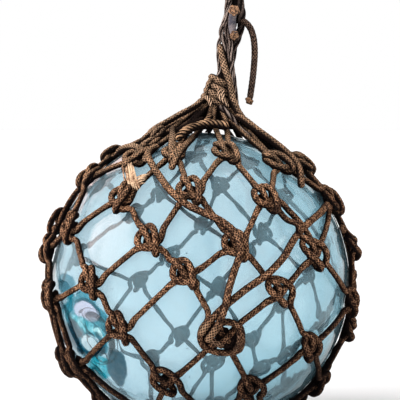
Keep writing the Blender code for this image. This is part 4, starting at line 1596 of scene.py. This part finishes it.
@dataclass
class NeckLashing:
    """The turns of rope round the gathered net, a few strands over them, and the core that they bind."""

    foot: Point = (0.0176, 0.0, 0.1725)
    top: Point = (0.0213, 0.0, 0.2030)
    foot_radius: float = 0.0150
    top_radius: float = 0.0082
    taper: float = 0.8
    turns: float = 4.0
    first_turn: float = 0.6
    tilt: float = 0.75
    steps_per_turn: int = 18
    bundle: tuple[Pair, ...] = (
        (0, 0.208), (0.007, 0.207), (0.0085, 0.202), (0.013, 0.186), (0.0165, 0.17), (0.02, 0.161),
        (0.0235, 0.156), (0.024, 0.154), (0.02, 0.153), (0, 0.153))
    bundle_steps: int = 84
    bundle_ridges: int = 14
    ridge_height: float = 0.05

    def spiral(self) -> list[Vector]:
        """The route of the lashing, up round the leaning neck.

        Returns:
            The points, from the foot up.
        """
        route = []
        count = round(self.turns * self.steps_per_turn)
        for k in range(count + 1):
            share = k / count
            turn = FULL_TURN * self.turns * share + self.first_turn
            radius = self.foot_radius + (self.top_radius - self.foot_radius) * share ** self.taper
            across = Vector((math.cos(turn), math.sin(turn), 0)) * radius
            across.z = -self.tilt * across.x
            route.append(CENTRE + Vector(self.foot).lerp(Vector(self.top), share) + across)
        return route

    def core(self) -> Object:
        """The gathered ropes inside the lashing, as one closed, ridged bundle that spreads over the glass.

        Returns:
            The bundle.
        """
        bm = spun([(out, 0.0, height) for out, height in self.bundle], self.bundle_steps)
        lean = (self.top[0] - self.foot[0]) / (self.top[2] - self.foot[2])
        for vert in bm.verts:
            turn = math.atan2(vert.co.y, vert.co.x)
            spread = 1 + self.ridge_height * math.sin(self.bundle_ridges * turn)
            vert.co.x *= spread
            vert.co.y *= spread
            vert.co.x += self.foot[0] + (vert.co.z - self.foot[2]) * lean
        moved(bm, CENTRE)
        return finished(bm, "neck_core")

    def build(self) -> None:
        """Build and dress the neck."""
        body = LOOSE_ROPE.body("neck_lashing_rope", self.spiral())
        add_piece(body, "net_rope", RUST_BRAID_FINISH.material(), "neck_lashing")
        # The core is near-black: painted shade between the lashing and the net
        add_piece(self.core(), "net_rope", PAINTED_SHADE_FINISH.material())
        for strand in NECK_STRANDS:
            strand.build()


@dataclass(frozen=True)
class CutEnd:
    """The frayed, lumpy face of a cut rope, in millimetres from the ball's centre."""

    name: str
    place: Point
    radius: float
    facing: Point
    seed: int
    lumps: int = 5
    lump_height: float = 0.10
    swell: Pair = (0.16, 4.5)
    grain: Pair = (0.05, 14.0)
    flatness: float = 0.42

    def build(self) -> Object:
        """Build and dress the face, and return it.

        Returns:
            The face's piece.
        """
        bm = bmesh.new()
        bmesh.ops.create_uvsphere(bm, u_segments=36, v_segments=24, radius=self.radius * MM)
        for vert in bm.verts:
            way = vert.co.normalized()
            turn = math.atan2(way.y, way.x)
            swell = self.swell[0] * noise.noise(way * self.swell[1] + Vector((self.seed, 0, 0)))
            bulge = 1 + self.lump_height * math.sin(self.lumps * turn + self.seed) + swell
            vert.co *= bulge * (1 + self.grain[0] * noise.noise(way * self.grain[1]))
            vert.co.z *= self.flatness
        turned_to(bm, Vector(self.facing).normalized())
        moved(bm, from_centre(self.place))
        return add_piece(finished(bm, self.name), "lanyard_rope", TAN_FINISH.material())


LANYARD_PARTS = (
    Strand("lanyard_left_leg", leg(0.0052), LANYARD_FINISH, ((36, -4, 176), (36, -6.5, 183), (35, -7.5, 190),
        (34.5, -8, 197), (33.5, -7, 204.5), (32.5, -6.5, 212), (31, -6.5, 219), (29.5, -6.5, 226),
        (27.5, -7, 232.5), (25.5, -7, 237.5), (23, -6.5, 242.5), (21.5, -6, 247.5), (21.5, -5, 252.5),
        (23.5, -4, 258), (26, -3.5, 265.5), (27, -3, 274), (27.5, -2, 282), (27, -1.5, 290)), "lanyard_rope",
        ("lanyard",)),
    Strand("lanyard_left_strand", leg(0.0047), LANYARD_FINISH, ((32.5, -9.5, 201), (31, -8.5, 209),
        (32, -7.5, 219), (31.5, -8, 226), (31, -8, 233), (30, -8, 240), (27.5, -8, 245.5), (26, -7.5, 251.5),
        (25.5, -7, 256.5), (27, -6, 262.5), (27.5, -5, 268.5), (29, -3, 277), (30, -1.5, 284),
        (30, -1.5, 290)), "lanyard_rope"),
    # The right leg is the lanyard rope in painted shade, as it lies behind
    Strand("lanyard_right_leg", leg(0.0076), SHADED_LANYARD_FINISH, ((25, 4, 202), (29, 4, 215), (32, 4, 222.5),
        (33, 3.5, 230.5), (34.5, 3, 237), (37, 3, 242.5), (39.5, 2, 249.5), (41, 1.5, 256), (41.5, 1, 263.5),
        (42, 0.5, 270), (41, 0, 276), (40, 0, 282.5), (40.5, 0, 290)), "lanyard_rope"),
    Strand("lanyard_lower_strand", leg(0.0043), LANYARD_FINISH, ((23.5, 1.5, 249.5), (21, 0.5, 244.5),
        (19, -0.5, 239), (18.5, -1.5, 233.5), (18.5, -2, 227), (19, -2.5, 220), (19.5, -4, 210.5),
        (17.5, -5, 205.5), (15.5, -5.5, 202)), "lanyard_rope"),
    # The lanyard's near-black core is painted shade between its strands
    Strand("lanyard_core", CORE_ROPE, PAINTED_SHADE_FINISH, ((36.5, 2.5, 292), (36, 3.5, 282), (35, 3.5, 270),
        (32, 3.5, 258), (29.5, 3.5, 247), (27, 3.5, 238), (26, 3.5, 230), (26, 3, 220), (26, 2.5, 210),
        (25, 2, 200)), "lanyard_rope"),
    Strand("lanyard_short_piece", CUT_ROPE, SLATE_FINISH, ((34, -14.5, 271), (33.5, -12.5, 269),
        (32.5, -10.5, 266), (32, -10, 260), (32, -10, 254.5), (33, -12, 250), (34, -14.5, 246.5)),
        "lanyard_rope"),
)
LANYARD_ENDS = (
    CutEnd("lanyard_cut_end_1", (34.0, -14.8, 271.0), 5.2, (0.05, -1.0, 0.15), seed=3),
    CutEnd("lanyard_cut_end_2", (34.2, -14.8, 246.5), 4.5, (0.35, -1.0, -0.35), seed=8),
)
TAIL_TUFT = CutEnd("rope_tail_tuft", (49.4, -3.0, 181.6), 4.3, (-0.5, -0.7, -0.5), seed=5)


@dataclass
class Lanyard:
    """The twisted rope above the lashing, its hanging loop and the cut ends beside it."""

    top: Point = (0.0350, 0.0, 0.2860)
    half_width: float = 0.0165
    half_height: float = 0.0240
    rise: float = 0.0330
    lean: Point = (0.17, 0.0, 0.985)
    legs: tuple[Point, Point] = ((0.0284, -0.0030, 0.2880), (0.0400, 0.0, 0.2880))
    opens_at: float = 228.0
    sweep: float = 276.0
    steps: int = 12

    def loop(self) -> list[Vector]:
        """The hanging loop, from one leg round to the other.

        Returns:
            The points of the loop.
        """
        rise = Vector(self.lean).normalized()
        across = Vector((rise.z, 0, -rise.x))
        route = [Vector(self.legs[0])]
        for k in range(self.steps + 1):
            turn = math.radians(self.opens_at - self.sweep * k / self.steps)
            route.append(Vector(self.top) + across * self.half_width * math.cos(turn)
                         + rise * (self.rise + self.half_height * math.sin(turn)))
        route.append(Vector(self.legs[1]))
        return [CENTRE + point for point in route]

    def build(self) -> None:
        """Build and dress the hanging rope."""
        body = LANYARD_ROPE.body("lanyard_loop", self.loop())
        add_piece(body, "lanyard_rope", LANYARD_FINISH.material(), "lanyard")
        for part in LANYARD_PARTS + LANYARD_ENDS:
            part.build()


# ---------------------------------------------------------------- loose ropes

def over_net(spots: Route) -> list[Vector]:
    """A route of longitudes, latitudes and heights above the glass in millimetres, in the part's frame."""
    return [PLAN.on_ball(east, north, height * MM) for east, north, height in spots]


@dataclass(frozen=True)
class LooseRope:
    """A free rope: its route over the net or, in metres, from the ball's centre."""

    name: str
    node: str
    route: Route
    hangs: bool = False
    rope: Rope = LOOSE_ROPE
    finish: RopeFinish = NET_FINISH
    slot: str = "net_rope"
    stiffness: str = "medium"

    def build(self, tuft: Object | None = None) -> None:
        """Args:
            tuft: the frayed fibres; not used.
        """
        route = [CENTRE + Vector(spot) for spot in self.route] if self.hangs else over_net(self.route)
        piece = add_piece(self.rope.body(self.name, route), self.slot, self.finish.material(), self.node)
        line = curve_through(route, self.rope.step)


SLACK = LooseRope("slack_rope_s", "slack_rope", ((-33.6, 55.5, 11.6), (-36.2, 54.4, 12), (-36.8, 52.2, 12.4),
    (-34.8, 49.4, 13), (-31, 46.8, 13), (-26.6, 44, 9.2), (-22, 41, 6.8), (-17.2, 37, 9.6),
    (-12.6, 33.4, 13.8), (-8, 31, 12.4), (-3, 29.4, 11), (1.8, 27.6, 12.6), (6, 25.2, 15.8),
    (9.4, 22.2, 18.8), (11.2, 18.8, 19.4), (11.4, 14.6, 17), (10.6, 10.4, 11.4), (9.6, 6, 9.2),
    (8.6, 1, 11.6), (7.8, -3, 14.8), (6.4, -7, 17.8), (4.5, -10.6, 18.6), (3.1, -13, 18)))
CROSS = LooseRope("cross_rope_long", "cross_rope", ((66.2, 35.6, 7), (62, 34.4, 6), (55.5, 32.2, 4.4),
    (48, 29.6, 3.9), (42, 26.8, 3.9), (36.8, 23.4, 4), (32.8, 19.8, 5.8), (29.4, 16.2, 8.8),
    (25.6, 12.9, 11.6), (22, 9.8, 12.6), (18.8, 7.2, 10), (15.4, 4.4, 6.2), (12.2, 1.4, 4.4),
    (9.4, -1.2, 4.4), (6.8, -3.4, 8.4), (4.5, -5.9, 12), (2.5, -8.7, 14), (1, -11.5, 14)))
SHOULDER = LooseRope("shoulder_rope_end", "shoulder_rope", ((47, 80.3, 19.8), (44, 78.6, 21),
    (42, 76.6, 21.8), (41.4, 74.4, 21.4), (41.8, 72, 20.4), (43.6, 69.2, 18.8), (46.6, 66.6, 17.4),
    (49.6, 64, 16.2), (52.2, 61.2, 15.2), (54, 58.4, 14.4), (54.8, 55.6, 14), (54.8, 52.8, 13.6),
    (54, 50.2, 13), (52.8, 47.6, 11.2), (51.6, 45, 8.4), (50.4, 42.6, 5.8)))
TAIL = LooseRope("rope_tail_end", "rope_tail", ((0.0405, -0.003, 0.2612), (0.0445, -0.003, 0.2602),
    (0.048, -0.003, 0.2572), (0.051, -0.003, 0.2525), (0.053, -0.0035, 0.2465), (0.054, -0.0035, 0.241),
    (0.0546, -0.0036, 0.234), (0.0546, -0.0037, 0.226), (0.0541, -0.0037, 0.218), (0.0534, -0.0037, 0.21),
    (0.0525, -0.0036, 0.202), (0.0515, -0.0033, 0.1945), (0.0505, -0.003, 0.1875), (0.0499, -0.0028, 0.1825)),
    hangs=True, rope=Rope(0.0064, painted_light_all_round=True), finish=TAIL_FINISH, slot="lanyard_rope",
    stiffness="stiff")
ARCH_ROUTE: Route = (
    (-24.6, 59.2, 14), (-23.4, 61.4, 16), (-21.2, 64.4, 17.2), (-17.5, 67.4, 17.4), (-12.6, 69.8, 17.4),
    (-6.4, 71.2, 17.6), (0.8, 71.7, 17.8), (8.2, 71.3, 17.6), (14.8, 70.4, 17.2))


def build_loose_ropes() -> None:
    """Build the free ropes, over the net and from the lanyard, and the arch over the neck's foot."""
    for rope in (SLACK, CROSS, SHOULDER):
        rope.build()
    TAIL.build(TAIL_TUFT.build())
    add_piece(ARCH_ROPE.body("drawstring_rope", over_net(ARCH_ROUTE)), "net_rope", RUST_FINISH.material(),
              "drawstring")


# ---------------------------------------------------------------- the studio

@dataclass(frozen=True)
class Window:
    """A window that the glass shows: the way to it, how near that it begins and is full, and its light."""

    towards: Point
    seen_from: Pair
    light: Point


@dataclass
class Studio:
    """The floor, the light and the camera."""

    distance: float = 1.6
    elevation: float = 6.0
    pitch: float = -3.07
    lens: float = 142.4
    sensor: float = 36.0
    floor_size: float = 30.0
    floor_tone: float = 0.82
    sky: float = 1.0
    fill: Pair = (0.50, 0.95)
    fill_height: float = 0.9
    ragged: float = 0.12
    windows: tuple[Window, ...] = (
        Window((-0.914, -0.109, 0.392), (0.905, 0.965), (6.6, 3.2, 2.6)),
        Window((-0.434, 0.827, 0.357), (0.93, 0.98), (1.7, 1.2, 1.1)),
        Window((0.924, -0.222, 0.307), (0.965, 0.99), (4.0, 2.2, 1.8)),
    )
    lamp_place: Point = (-1.6, -0.7, 0.9)
    lamp_size: Pair = (0.9, 1.1)
    lamp_power: float = 14.0
    lamp_colour: Point = (0.97, 0.98, 1.0)
    sun_strength: float = 2.5
    sun_width: float = 35.0
    sun_direction: Point = (0.75, 0.55, -0.90)

    def camera(self) -> None:
        """Set up the camera at the front."""
        data = bpy.data.cameras.new("camera")
        data.lens = self.lens
        data.sensor_width = self.sensor
        data.clip_end = 100.0
        camera = bpy.data.objects.new("camera", data)
        rise = math.radians(self.elevation)
        camera.location = CENTRE + self.distance * Vector((0, -math.cos(rise), math.sin(rise)))
        camera.rotation_euler = (math.radians(90 + self.pitch), 0, 0)
        show(camera)
        bpy.context.scene.camera = camera

    def floor(self) -> None:
        """Lay the pale floor."""
        bm = bmesh.new()
        bmesh.ops.create_grid(bm, x_segments=1, y_segments=1, size=self.floor_size)
        material, g, shader = new_material("floor")
        g.fill(shader, Base_Color=(self.floor_tone,) * 3, Roughness=0.6)
        floor = finished(bm, "floor")
        floor.data.materials.append(material)
        show(floor)

    def hang(self, light: Light, place: Point, direction: Vector) -> None:
        """Hang a light at a place, shining in a direction; the glass doesn't show it.

        Args:
            light: the light.
            place: where it hangs.
            direction: the way that it shines.
        """
        lamp = bpy.data.objects.new(light.name, light)
        lamp.visible_glossy = lamp.visible_transmission = False
        lamp.location = place
        lamp.rotation_euler = direction.to_track_quat("-Z", "Y").to_euler()
        show(lamp)

    def surround(self) -> None:
        """Make the bright surround, with windows that only a gloss shows."""
        world = bpy.data.worlds.new("surround")
        bpy.context.scene.world = world
        world.use_nodes = True
        g = Graph(world.node_tree)
        way = g.node("ShaderNodeTexCoord").outputs["Generated"]
        rays = g.node("ShaderNodeLightPath").outputs
        fill = g.mix(g.spread(g.split(way)[2], 0.0, self.fill_height), *((tone,) * 3 for tone in self.fill))
        colour = g.mix(rays["Is Diffuse Ray"], (self.sky,) * 3, fill)
        ragged = g.times(g.math("SUBTRACT", g.noise(way, 5.0, 2.0), 0.5), self.ragged)
        for window in self.windows:
            seen = g.node("ShaderNodeVectorMath", {"operation": "DOT_PRODUCT"}, i0=way,
                          i1=Vector(window.towards).normalized()).outputs["Value"]
            share = g.times(g.spread(g.plus(seen, ragged), *window.seen_from), rays["Is Glossy Ray"])
            colour = g.mix(share, colour, window.light)
        g.fill(world.node_tree.nodes["Background"], Color=colour, Strength=1.0)

    def light(self) -> None:
        """Light the float from the surround, a soft lamp on the left and a wide, soft sun."""
        self.surround()
        lamp = bpy.data.lights.new("window", "AREA")
        lamp.shape = "RECTANGLE"
        lamp.size, lamp.size_y = self.lamp_size
        lamp.energy, lamp.color = self.lamp_power, self.lamp_colour
        self.hang(lamp, self.lamp_place, CENTRE - Vector(self.lamp_place))
        sun = bpy.data.lights.new("soft_sun", "SUN")
        sun.energy, sun.angle = self.sun_strength, math.radians(self.sun_width)
        self.hang(sun, (0, 0, 0), Vector(self.sun_direction))
        bpy.context.scene.view_settings.view_transform = "Standard"


def main() -> None:
    """Build every piece in order."""
    logging.basicConfig(level=logging.INFO, format="%(name)s: %(message)s")
    studio = Studio()
    studio.camera()
    build_loose_ropes()
    for part in (GlassFloat(), KnottedNet(), FootRing(), NeckLashing(), Lanyard()):
        part.build()
    studio.floor()
    studio.light()


if __name__ == "__main__":
    main()
